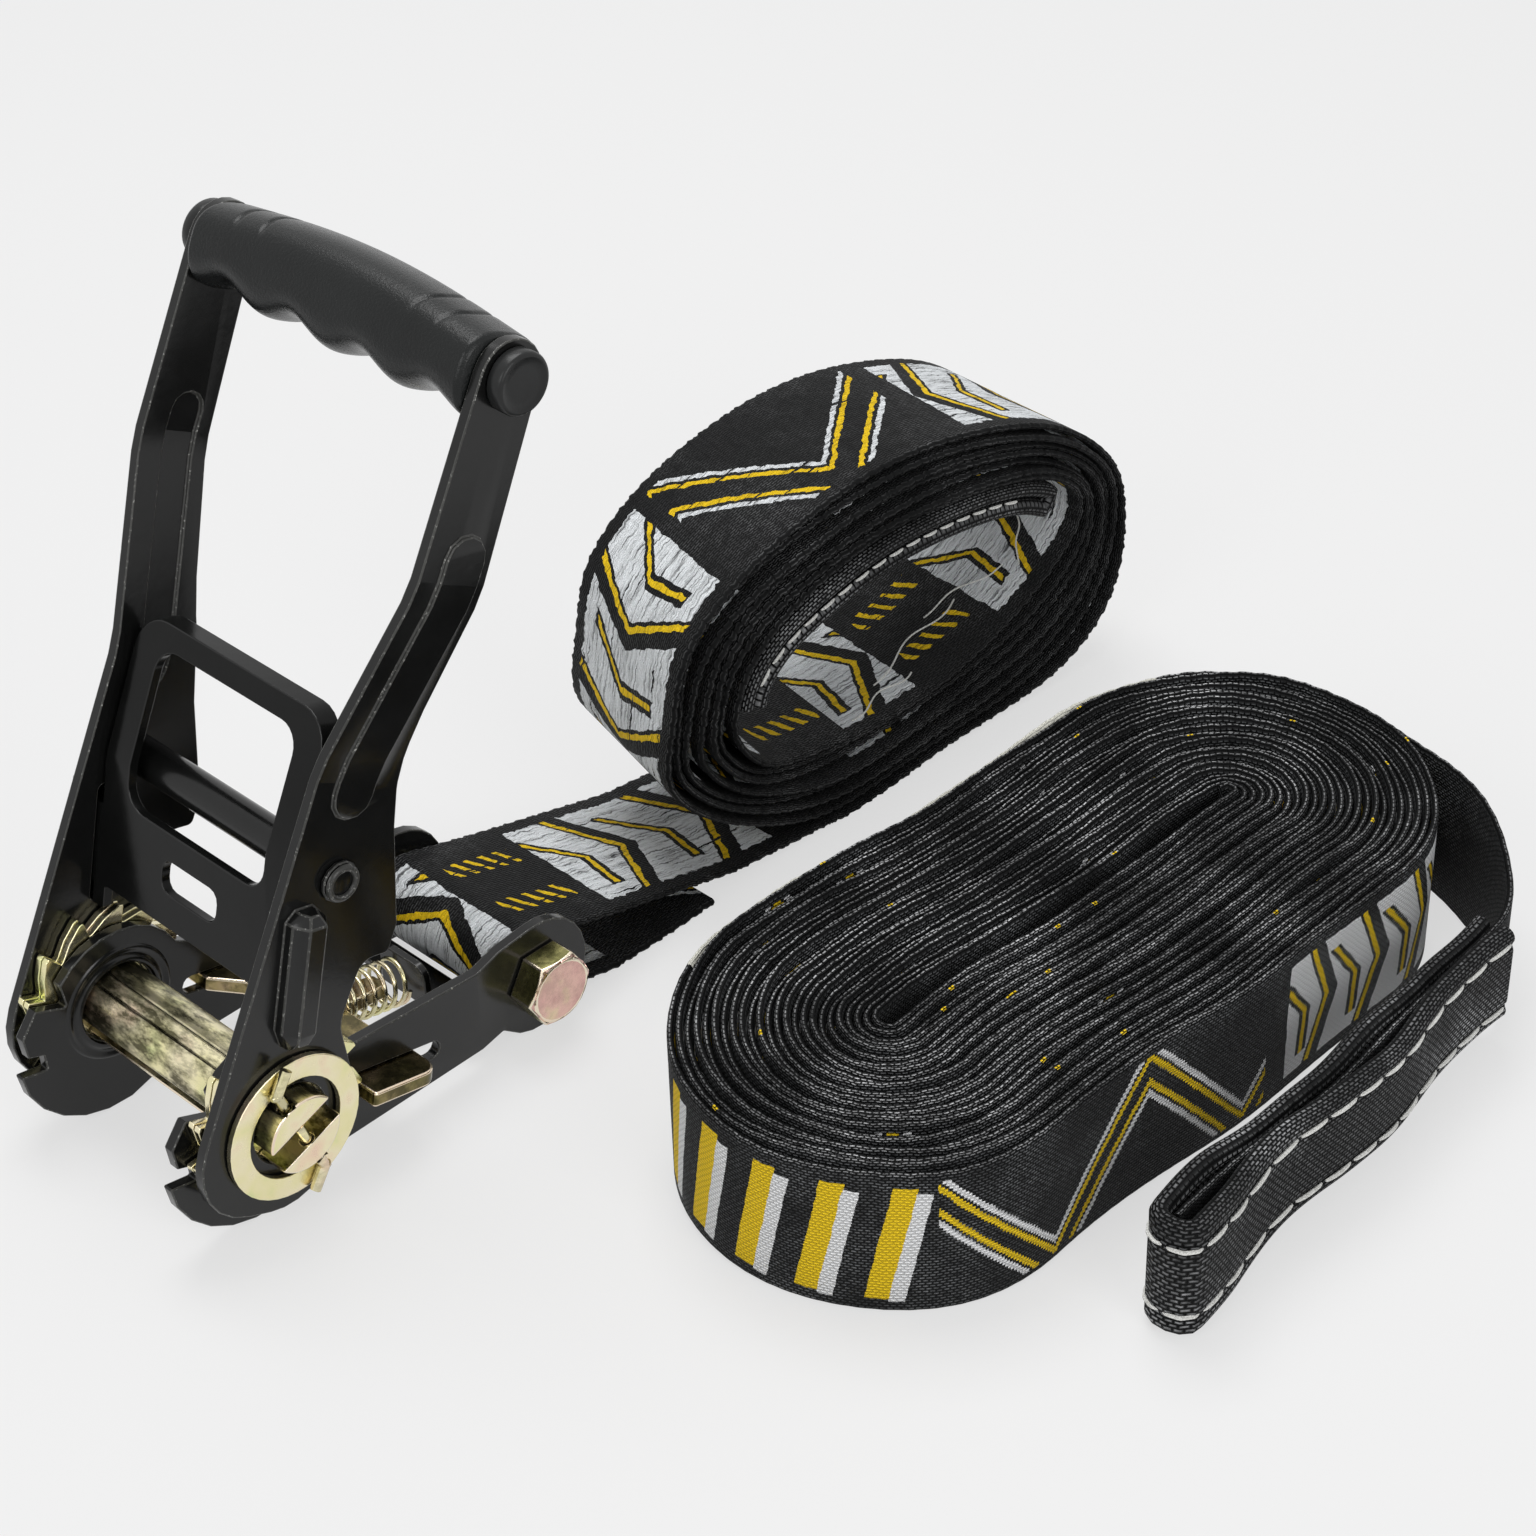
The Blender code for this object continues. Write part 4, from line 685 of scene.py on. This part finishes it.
def webbing(name, cell, row, rim_from, pattern=None, embroidered=False, specks=False, edging=None,
            dark=(0.0032, 0.0034, 0.0036), pale=(0.30, 0.31, 0.32), rim=(0.46, 0.47, 0.48),
            white=(0.84, 0.87, 0.89), yellow=(0.90, 0.60, 0.015), relief=0.0005):
    """Dark threads with painted highlights: pale dashes on the thread tops, in slow patches of painted sheen,
    and brighter still beyond rim_from from the middle, a painted highlight on the band's edges. pattern turns
    (along, across) into (white, yellow) masks. specks are stray yellow threads on the upper rim, and edging is
    the stretch where that rim has a cream edge yarn."""
    made, tree, shader = new_material(name)
    source = added(tree, "Attribute", {}, attribute_name="place")
    parts = added(tree, "SeparateXYZ", {0: source.outputs["Vector"]})
    along, across, through = (Value(tree, parts.outputs[k]) for k in range(3))
    lift, grain = weave(tree, along, across + through, cell, row)
    # Painted light: sheen is slow patches of painted sheen, and the pale dashes on the thread tops and the
    # brighter rims are painted highlights.
    sheen = noise(tree, object_point(tree), 24, 3, 0.6)
    seen = lift * lift * (grain * 2.4 - 0.70).either(0.05) * ((sheen - 0.38) * 4.0).either(0.25)
    at_rim = across.size() > rim_from
    colour = mixed(tree, seen.clamped(), dark, mixed(tree, at_rim, pale, rim))
    if specks:
        random = added(tree, "TexWhiteNoise", {"Vector": combined(tree, (along / cell).floor())})
        chosen = Value(tree, random.outputs["Value"]) > SPECK_ABOVE
        stray = chosen * at_rim * (lift > 0.35) * (across > 0.0)
        colour = mixed(tree, stray, colour, yellow)
    if edging:
        yarn = along.between(*edging) * (across > rim_from - EDGE_YARN) * (grain > 0.30)
        colour = mixed(tree, yarn, colour, CREAM)
    height = lift
    if pattern:
        colour, height = patterned(tree, along, across, colour, lift, pattern, embroidered, white, yellow)
    fill(tree, shader, {"Base Color": colour, "Roughness": 0.60, "Specular IOR Level": 0.10,
                        "Normal": bump(tree, height, relief)})
    print(f"{name}: {len(tree.nodes)} nodes")
    return made


# %% [markdown]
# Both webbings carry the same plain motifs in white and yellow: zigzag lines and broad arrow stripes. Each is
# a mask worked out from the place on the band, so it can be set in real millimetres.

# %% Motifs
LINES_APART = 0.0034
SLIT_HALF, SLIT_LINE, ARROW_GAP, ARROW_LINE = 0.0022, 0.0008, 0.0019, 0.0009


def zigzag(along, across, pitch, tall):
    """The distance across from a line that rises and falls evenly, once in each pitch."""
    rise = ((along / pitch) % 1.0 - 0.5).size() * 4 - 1
    return (across - rise * tall).size()


def zigzag_pairs(along, across, high, low, pitch, tall, thin):
    """Two pairs of zigzag lines, one raised by high and one lowered by low: white outside, yellow inside."""
    def line(up):
        return zigzag(along, across - up, pitch, tall) < thin

    return line(high).either(line(-low)), line(high - LINES_APART).either(line(LINES_APART - low))


def arrow_blocks(along, across, start, end, pitch, thick, point, half):
    """Broad arrow stripes, each split by a slanting slit, and the yellow line behind each."""
    column = (along - start + across.size() * point) % pitch
    span = along.between(start, end) * (across.size() < half)
    slit = (column + across * 0.35 - thick * 0.5).size()
    cut = (slit < SLIT_HALF) * (across.size() < half * 0.74)
    white = (column < thick) * (cut * -1 + 1)
    behind = (column - thick - ARROW_GAP).size() < ARROW_LINE
    yellow = behind.either((slit < SLIT_LINE) * (across.size() < half * 0.70))
    return white * span, yellow * span


# %% [markdown]
# The long line is rolled flat: a spiral drawn out between two round ends. A hand-rolled line is never a true
# oval, so its middle sways, its turns stand at slightly different heights, and its inner end is a tight fold.
# A cloth simulation could roll it up, but a formula keeps every turn clear of the next.

# %% Long line's path
LINE_WIDTH, LINE_SHEET, LINE_PITCH, LINE_TURNS = 0.043, 0.00165, 0.00213, 24
LINE_X, LINE_Y, LINE_STRAIGHT, LINE_CORE = 0.1265, 0.1715, 0.1216, 0.0016
LINE_OUTER = LINE_CORE + LINE_PITCH * LINE_TURNS
LINE_TAIL = np.array([
    (0.42, 0.950), (0.66, 0.893), (0.90, 0.785), (1.12, 0.645), (1.30, 0.47), (1.385, 0.33), (1.413, 0.21),
])
LINE_END = np.array((1.60, -2.27))


def line_path():
    """Half circles whose radius grows with the turn, joined by straight runs; then the loose outer end."""
    places = np.linspace(0, LINE_TURNS, LINE_TURNS * 96 + 1)
    radius = LINE_CORE + LINE_PITCH * places
    turn = np.pi - 2 * np.pi * (places % 1)
    shift = np.where(places % 1 < 0.5, 0.5, -0.5) * LINE_STRAIGHT
    x, y = radius * np.cos(turn), radius * np.sin(turn) + shift
    leave = np.radians(np.linspace(180, 76, 20))
    grown = LINE_OUTER + LINE_PITCH * (np.pi - leave) / (2 * np.pi)
    x = np.concatenate([x[:-1], grown * np.cos(leave)])
    y = np.concatenate([y[:-1], grown * np.sin(leave) + LINE_STRAIGHT / 2])
    path = np.stack([x, y], 1)
    round_end = (0, LINE_STRAIGHT / 2)
    tail = smooth_path(np.vstack([path[-1:], LINE_TAIL * LINE_OUTER + round_end]), 8)
    path = np.vstack([path, tail[1:], LINE_END * LINE_OUTER + round_end])
    return evenly(path + (LINE_X, LINE_Y), 0.0020)


def swayed(path):
    """A slow sway of the whole roll: neighbouring turns move together, so no gap closes."""
    x, y = path.T
    return np.stack([x + waves(y, (0.0016, 34, 0.6), (0.0009, 71, 2.0)), y + waves(x, (0.0012, 40, 1.0))], 1)


# %% Long line's print
LINE_REPEAT, LINE_PRINT_SHIFT, LINE_PRINTED, LINE_EDGING = 0.36, 0.1151, (0.75, 9.93), (9.835, 10.005)
BARS_END, BAR_PITCH, BAR_YELLOW, BAR_WHITE = 0.1085, 0.0165, 0.0056, 0.0094
BAR_SLANT, BAR_HALF, BAR_DROP = 0.20, 0.0170, 0.0014


def line_print(along, across):
    """Slanted yellow bars with a white edge, then two pairs of zigzag lines, then white arrow stripes."""
    u = (along * -1 + LINE_PRINT_SHIFT) % LINE_REPEAT
    slanted = u - across * BAR_SLANT
    column = slanted % BAR_PITCH
    bars = slanted.between(0.0, BARS_END)
    gold = (column < BAR_YELLOW) * bars * (across.size() < BAR_HALF)
    edge = column.between(BAR_YELLOW, BAR_WHITE) * bars * ((across + BAR_DROP).size() < BAR_HALF)
    lines = u.between(0.1125, 0.218) * (across.size() < 0.0190)
    line_white, line_yellow = zigzag_pairs(u - 0.111, across, high=0.0036, low=0.0106, pitch=0.066,
                                           tall=0.0185, thin=0.0011)
    white, yellow = arrow_blocks(u, across, start=0.226, end=0.352, pitch=0.0210, thick=0.0145, point=0.42,
                                 half=0.0175)
    printed = along.between(*LINE_PRINTED)
    return (white.either(edge).either(line_white * lines) * printed,
            yellow.either(gold).either(line_yellow * lines) * printed)


# The long line's rim colour is near white: a painted highlight on the upper edges of its turns.
line_webbing = webbing("line_webbing", 0.0016, 0.00085, LINE_WIDTH / 2 - 0.0009, line_print, specks=True,
                       edging=LINE_EDGING, rim=(0.86, 0.87, 0.88), white=(0.97, 0.98, 0.99),
                       yellow=(1.0, 0.69, 0.02))

# %% Long line
LOOP_LENGTH, LOOP_FADE, LOOP_DRAWN_IN, SLEEVE_LIFT = 0.175, 0.05, 0.0105, 0.0060
flat = swayed(line_path())
along = np.linspace(0, 1, len(flat)) * 2 * np.pi
lift = waves(along, (0.0009, 8.88, 1.0), (0.0006, 61, 0), (0.0004, 223, 0))
lift = lift + waves(np.arange(len(flat)), (0.00018, 2.2, 0))
left = (1 - np.linspace(0, 1, len(flat))) * lengths_along(flat)[-1]
drawn = eased((LOOP_LENGTH - left) / LOOP_FADE)
bottom = np.column_stack([flat, np.clip(0.0006 + lift * 0.3, 0, None) + SLEEVE_LIFT * 0.8 * drawn])
top = np.column_stack([flat, LINE_WIDTH + lift - LOOP_DRAWN_IN * drawn])
points, place = band(bottom, top, LINE_SHEET, 4, 3)
long_line = grid_piece("long_line_roll", points, line_webbing, "frame", ["long_line"], "black_webbing",
                       place=place)
print(f"long line: {place[-1, 0, 0]:.2f} m of webbing")

# %% [markdown]
# The short strap is sewn round the spacer tube, runs over the floor and is wound into a loose oval. Its roll
# fades from an outer outline to the shape of its core, turn by turn, so both outlines are given as points,
# in shares of the roll's length and height.

# %% Short strap's path
STRAP_WIDTH, STRAP_SHEET, STRAP_TURNS, LAID_GAP = 0.050, 0.0017, 7, 0.0003
ROLL_START, ROLL_LENGTH, ROLL_HEIGHT, FAR_SHORTER = 0.1315, 0.187, 0.105, 0.075
OUTER_SHARES = np.array([
    (0.345, 0.012), (0.58, 0.012), (0.82, 0.034), (0.95, 0.157), (0.992, 0.38), (0.96, 0.60),
    (0.82, 0.815), (0.623, 0.943), (0.409, 0.986), (0.195, 0.946), (0.062, 0.815), (0.022, 0.61),
    (0.016, 0.40), (0.140, 0.188),
])
CORE_SHARES = np.array([
    (0.38, 0.257), (0.57, 0.270), (0.74, 0.352), (0.845, 0.455), (0.872, 0.530), (0.848, 0.605),
    (0.758, 0.690), (0.612, 0.745), (0.45, 0.760), (0.290, 0.712), (0.205, 0.64), (0.165, 0.54),
    (0.166, 0.43), (0.235, 0.300),
])
POINTS_IN_TURN = len(OUTER_SHARES)


def around(points, places):
    """A closed curve through the points, read at places of one unit for each point."""
    k = np.floor(places).astype(int)
    corners = (points[(k + n) % len(points)] for n in (-1, 0, 1, 2))
    return catmull_rom(*corners, (places - k)[:, None])


def roll_at(places):
    """The roll's curve: the outer outline fades into the core's with the turn, a little unevenly."""
    share = (places / POINTS_IN_TURN / STRAP_TURNS)[:, None]
    share = share + 0.026 * np.sin(places * 0.75)[:, None] * np.minimum(share * 6, 1)
    shape = around(OUTER_SHARES, places) * (1 - share) + around(CORE_SHARES, places) * share
    return shape * (ROLL_LENGTH, ROLL_HEIGHT) + (ROLL_START, 0)


def skewed(flat, x):
    """Towards its far edge the roll is shorter at its left end."""
    end = ROLL_START + ROLL_LENGTH
    shorter = 1 - FAR_SHORTER * (STRAP_WIDTH / 2 - x) / STRAP_WIDTH
    return np.stack([end - (end - flat[:, 0]) * shorter, flat[:, 1]], 1)


# %% Short strap's embroidery
STRAP_PRINT_SHIFT, STRAP_REPEAT, PRINT_UNIT = 0.0515, 0.2486, 0.235
TICK_PITCH, TICK_THICK, TICK_ROW, TICK_HALF = 0.0048, 0.0017, 0.0105, 0.0034


def strap_print(along, across):
    """Pairs of zigzag lines, sewn arrow stripes, two rows of short yellow ticks, then arrow stripes again. It
    is drawn in one unit and stretched to the real repeat."""
    u = ((along + STRAP_PRINT_SHIFT) * (PRINT_UNIT / STRAP_REPEAT)) % PRINT_UNIT
    lines = u.between(0.003, 0.077) * (across.size() < 0.0210)
    line_white, line_yellow = zigzag_pairs(u, across, high=0.0056, low=0.0120, pitch=0.076, tall=0.0180,
                                           thin=0.0010)
    rows = (across - TICK_ROW).size().both((across + TICK_ROW).size()) < TICK_HALF
    ticks = ((u + across * 0.5) % TICK_PITCH < TICK_THICK) * u.between(0.144, 0.166) * rows
    white, yellow = line_white * lines, (line_yellow * lines).either(ticks)
    for start, end, pitch, thick in ((0.082, 0.139, 0.0285, 0.0215), (0.171, 0.230, 0.0295, 0.0225)):
        stripes, behind = arrow_blocks(u, across, start, end, pitch, thick, point=0.50, half=0.0205)
        white, yellow = white.either(stripes), yellow.either(behind)
    return white, yellow


# Its pale dashes and brighter rims are painted highlights, as on the long line.
strap_webbing = webbing("strap_webbing", 0.0026, 0.0008, STRAP_WIDTH / 2 - 0.0010, strap_print,
                        embroidered=True, pale=(0.30, 0.305, 0.31), rim=(0.46, 0.465, 0.47))

# %% Short strap
SPACER_AT, SPACER_RADIUS = (0.086, 0.0164), 0.009
loop_turn = np.radians(np.linspace(285, 74, 60))[:, None]
loop_radius = SPACER_RADIUS + LAID_GAP + STRAP_SHEET / 2
lead = np.vstack([
    [(0.150, STRAP_SHEET / 2), (0.114, STRAP_SHEET / 2)],
    SPACER_AT + loop_radius * np.hstack([np.cos(loop_turn), np.sin(loop_turn)]),
])
lead_ends = np.array([(0.10, 0.060), (0.205, 0.026)]) * (ROLL_LENGTH, ROLL_HEIGHT)
lead_ends = lead_ends + (ROLL_START, STRAP_SHEET / 2)
roll = roll_at(np.linspace(0, STRAP_TURNS * POINTS_IN_TURN, STRAP_TURNS * 280 + 1))
run_in = smooth_path(np.vstack([lead[-1:], lead_ends, roll[:1]]), 16)
near = np.vstack([lead, run_in[1:-1], roll])
far = np.vstack([lead, run_in[1:-1], skewed(roll, -STRAP_WIDTH / 2)])
both = evenly(np.hstack([near, far]), 0.0010)
steps = np.arange(len(both))
drift = waves(steps, (0.0010, 0.0173, 0), (0.0006, 0.043, 1.0))
cord = waves(steps, (0.00017, 2.05, 0)) * (1 + 0.6 * np.sin(steps * 0.31)) + waves(steps, (0.00022, 0.93, 0))
near_edge = np.column_stack([STRAP_WIDTH / 2 + drift + cord, both[:, :2]])
far_edge = np.column_stack([-STRAP_WIDTH / 2 + drift - cord, both[:, 2:]])
points, place = band(near_edge, far_edge, STRAP_SHEET, 5, 5)
strap = grid_piece("short_strap_roll", points, strap_webbing, "frame", ["ratchet_strap"],
                   "black_webbing", place=place)
print(f"short strap: {place[-1, 0, 0]:.2f} m of webbing")

# %% [markdown]
# Both end loops wear a sleeve of coarse woven tube, sewn down with white thread. Real stitches stand up and
# throw small shadows, so each is a short bent thread that lies in the cloth.

# %% Sleeve cloth and sewing thread
# The sleeve's pale dashes are painted highlights on its coarse threads.
sleeve_webbing = webbing("sleeve_webbing", 0.0018, 0.0011, 1.0, dark=(0.0030, 0.0032, 0.0034),
                         pale=(0.60, 0.61, 0.62), relief=0.0009)


def thread_look():
    """Twisted white thread: a fine noise gives the ply its shade."""
    made, tree, shader = new_material("white_thread")
    ply = noise(tree, object_point(tree), 2600, 2, 0.5)
    colour = ramp(tree, ply, [(0.35, (0.50, 0.50, 0.47)), (0.6, (0.80, 0.80, 0.77))])
    fill(tree, shader, {"Base Color": colour, "Roughness": 0.6, "Normal": bump(tree, ply, 0.0002, 0.6)})
    return made


white_thread = thread_look()


def stitches(line, outward, length, pitch, radius=0.00045, rows=9, sides=6):
    """Short bodies along a seam: each is a thin tube that rises from the cloth and dips back as half a sine
    does, with slimmer ends."""
    along = lengths_along(line)
    starts = np.arange(0.001, along[-1] - length, pitch)[:, None]
    t = np.linspace(0, 1, rows)[None, :]
    at = starts + t * length

    def read(values):
        return np.stack([np.interp(at, along, values[:, k]) for k in range(3)], -1)

    up = read(outward)
    centre = read(line) + up * (radius * 0.7 * np.sin(np.pi * t) ** 0.7 - radius * 0.25)[..., None]
    side = unit(np.cross(unit(np.gradient(centre, axis=1)), up))
    turn = around_circle(sides)[:, None]
    thick = (radius * (0.55 + 0.45 * np.sin(np.pi * t) ** 0.4))[..., None, None]
    ring = side[:, :, None] * np.cos(turn) + up[:, :, None] * np.sin(turn)
    return centre[:, :, None] + ring * thick


# %% [markdown]
# The strap's own sleeve lies doubled in the hollow of its roll. It follows the strap's own curve, moved
# inwards, so it hugs the inner turn and stays clear of it.

# %% Short strap's sleeve
SLEEVE_NEAR, SLEEVE_FAR, SLEEVE_THICK, SLEEVE_APART = 0.025, -0.009, 0.0044, 0.0009
SLEEVE_FROM, SLEEVE_TO = 11.2, 5.3
inner_turn = POINTS_IN_TURN * (STRAP_TURNS - 1)


def inset(places, distance):
    """The roll's curve moved inwards by a distance."""
    run = unit(roll_at(places + 0.05) - roll_at(places - 0.05))
    return roll_at(places) + np.stack([-run[:, 1], run[:, 0]], 1) * np.reshape(distance, (-1, 1))


def edge_at(x, flat):
    """Points of the roll's side view at the place x across the strap."""
    return np.column_stack([np.broadcast_to(x, len(flat)), skewed(flat, x)])


inner = inner_turn + np.linspace(SLEEVE_FROM, SLEEVE_TO, 60)
first = STRAP_SHEET + LAID_GAP + SLEEVE_THICK / 2
second = first + SLEEVE_THICK + SLEEVE_APART
flat = evenly(np.vstack([inset(inner, first), inset(inner[::-1], second)]), 0.0015)
points, place = band(edge_at(SLEEVE_NEAR, flat), edge_at(SLEEVE_FAR, flat), SLEEVE_THICK, 9, 5)
sleeve = grid_piece("strap_sleeve", points, sleeve_webbing, "frame", ["ratchet_strap_sleeve"], "black_sleeve",
                    place=place)
seam = edge_at(SLEEVE_NEAR, inset(inner[6:-6], (first + second) / 2)) - (0.0004, 0, 0)
outward = np.tile([1.0, 0, 0], (len(seam), 1))
sewing = grid_piece("strap_sleeve_stitches", stitches(seam, outward, 0.0050, 0.0066), white_thread, "frame",
                    slot="black_sleeve")

# %% [markdown]
# A few threads of the embroidery hang loose in the hollow. Each is a thin tube that bows off the inner face,
# because a real thread casts a shadow.

# %% Loose threads in the strap's hollow
THREAD_RADIUS, THREAD_REST = 0.00024, 0.0024
THREADS = (
    (0.6, 1.1, 0.012, -0.004, 0.0022, 0.0014), (1.4, 0.9, 0.004, 0.009, 0.0016, 0.0010),
    (2.4, 0.8, 0.016, -0.012, 0.0014, 0.0008), (0.2, 0.7, 0.019, -0.002, 0.0010, 0.0012),
)


def loose_thread(start, span, x, drift, rise, wiggle):
    """A thread that lies on the inner face, bows off it as half a sine and wanders sideways."""
    t = np.linspace(0, 1, 40)
    off = -STRAP_SHEET / 2 + THREAD_REST + rise * np.sin(np.pi * t)
    return edge_at(x + drift * t + wiggle * np.sin(t * 9 + start), inset(inner_turn + start + span * t, off))


for number, numbers in enumerate(THREADS, 1):
    thread = tube(evenly(loose_thread(*numbers), 0.0008), THREAD_RADIUS, 6)
    grid_piece(f"loose_thread_{number}", thread, white_thread, "frame", slot="black_webbing")

# %% [markdown]
# The long line's sleeve wraps its loose end: down the outer side, round the fold and back. Its two seams draw
# its faces in, and as on any sewn tube the cloth between them swells and waves.

# %% Long line's sleeve
LINE_SLEEVE_THICK, LINE_SLEEVE_TOP, LINE_SLEEVE_FLOOR = 0.0050, 0.0345, 0.0003
SEAM_FROM_MIDDLE, SEAM_DEPTH, SEAM_WIDTH, SEAM_OUT = 0.0100, 0.0006, 0.0009, 0.0023
tail = np.array([LINE_TAIL[-1], LINE_END]) * LINE_OUTER + (LINE_X, LINE_Y + LINE_STRAIGHT / 2)
reach = LINE_SHEET / 2 + LAID_GAP + LINE_SLEEVE_THICK / 2
run = unit(tail[1] - tail[0])
side = np.array((-run[1], run[0]))
turn = np.radians(np.linspace(90, -90, 24))[:, None]
bend = tail[1] + side * reach * np.sin(turn) + run * reach * np.cos(turn)
start = tail[0] + run * 0.001
flat = evenly(np.vstack([start + side * reach, bend, start - side * reach]), 0.0018)
from_end = np.clip(-(flat - tail[1]) @ run, 0, None)[:, None]
is_outer = np.clip((flat - tail[1]) @ side / reach, -0.25, 1)[:, None]
bulge = 0.0024 * np.exp(-(from_end / 0.024) ** 2)
bulge = bulge + waves(from_end, (0.0010, 78, 2.2)) * np.clip(from_end / 0.02, 0, 1)
flat = swayed(flat + side * bulge * is_outer)
wave = waves(np.arange(len(flat)), (0.0008, 0.17, 0), (0.0005, 0.37, 1.0))
lifted = SLEEVE_LIFT * eased((from_end[:, 0] - 0.012) / 0.040)
bottom = np.column_stack([flat, LINE_SLEEVE_FLOOR + 0.5 * (wave + 0.0013) + lifted])
top = np.column_stack([flat, LINE_SLEEVE_TOP + wave])
points, place = band(bottom, top, LINE_SLEEVE_THICK, 9, 31, groove=(SEAM_FROM_MIDDLE, SEAM_DEPTH, SEAM_WIDTH))
sleeve = grid_piece("long_line_sleeve", points, sleeve_webbing, "frame", ["line_sleeve"],
                    "black_sleeve", place=place)
way = directions(flat)
out = np.column_stack([-way[:, 1], way[:, 0], np.zeros(len(way))])
width = np.linalg.norm(top - bottom, axis=1)[:, None]
sewn = [
    stitches(bottom + (top - bottom) * (0.5 + at / width) + out * SEAM_OUT, out, 0.0088, 0.0101, 0.00058, 13)
    for at in (-SEAM_FROM_MIDDLE, SEAM_FROM_MIDDLE)
]
sewing = grid_piece("line_sleeve_stitches", np.concatenate(sewn), white_thread, "frame", slot="black_sleeve")

# %% [markdown]
# What is left of the CAD keeps its own shape and only needs a finish: the two bright tubes.

# %% Carried-over nodes
for node in ("bolt_spacer", "grip_tube"):
    held = frame["nodes"][node]
    held.data.materials.clear()
    held.data.materials.append(zinc_flat)
    print(f"{node}: {len(held.data.polygons)} faces, as packed")

# %% [markdown]
# The floor and the world are one pale grey, as on a catalogue page. Part of the floor's light is its own, so
# the page stays even, and the rest takes the soft shadow.

# %% Floor and world
PAGE, DIM_PAGE = (0.863, 0.863, 0.863), (0.40, 0.40, 0.405)
FLOOR_REACH, OWN_LIGHT = 6, 0.72


def ray_is(tree, *kinds):
    """1 where the light ray is of one of these kinds, and 0 elsewhere."""
    path = added(tree, "LightPath", {})
    seen = Value(tree, path.outputs[kinds[0]])
    for kind in kinds[1:]:
        seen = seen.either(Value(tree, path.outputs[kind]))
    return seen


def pale_floor():
    """A matt floor; for the camera and in reflections, a share of its light is its own."""
    made, tree, shader = new_material("pale_floor")
    fill(tree, shader, {"Base Color": (0.85, 0.85, 0.85), "Roughness": 0.9, "Specular IOR Level": 0.1})
    glow = added(tree, "Emission", {"Color": PAGE}).outputs[0]
    share = ray_is(tree, "Is Camera Ray", "Is Glossy Ray") * OWN_LIGHT
    mix = added(tree, "MixShader", {"Fac": share, 1: shader.outputs[0], 2: glow})
    fill(tree, tree.nodes["Material Output"], {"Surface": mix.outputs[0]})
    return made


floor_mesh = bpy.data.meshes.new("floor")
corners = [(x * FLOOR_REACH, y * FLOOR_REACH, 0) for x, y in ((-1, -1), (1, -1), (1, 1), (-1, 1))]
floor_mesh.from_pydata(corners, [], [(0, 1, 2, 3)])
floor_mesh.materials.append(pale_floor())
floor = placed("floor", floor_mesh)

world = bpy.data.worlds.new("studio")
world.use_nodes = True
bpy.context.scene.world = world
tree = world.node_tree
seen = ray_is(tree, "Is Camera Ray", "Is Glossy Ray", "Is Transmission Ray")
fill(tree, tree.nodes["Background"], {"Color": mixed(tree, seen, DIM_PAGE, PAGE)})
print(f"floor {2 * FLOOR_REACH} m wide, page brightness {PAGE[0]}")

# %% [markdown]
# Three soft boxes light the set: a weak one from the front, the main one from above and behind, and one from
# the right that lifts the bolt and the sleeve out of the shade.

# %% Lamps
AIM = np.array((0.05, 0.12, 0.06))


def softbox(name, place, size, power):
    """A square lamp whose own Z axis points away from the set."""
    lamp = bpy.data.lights.new(name, "AREA")
    lamp.shape = "RECTANGLE"
    lamp.size, lamp.size_y = size, size
    lamp.energy = power
    away = unit(np.array(place) - AIM)
    side = unit(np.cross((0, 0, 1), away))
    placed(name, lamp).matrix_world = facing(side, np.cross(away, side), away, place)


softbox("key", (0.25, -1.20, 0.95), 0.7, 5)
softbox("top", (-0.30, 0.35, 1.35), 0.8, 11)
softbox("right", (1.25, -0.10, 0.70), 0.6, 5)
print("lamps:", [lamp.name for lamp in bpy.data.lights])

# %% The end
bpy.context.view_layer.update()
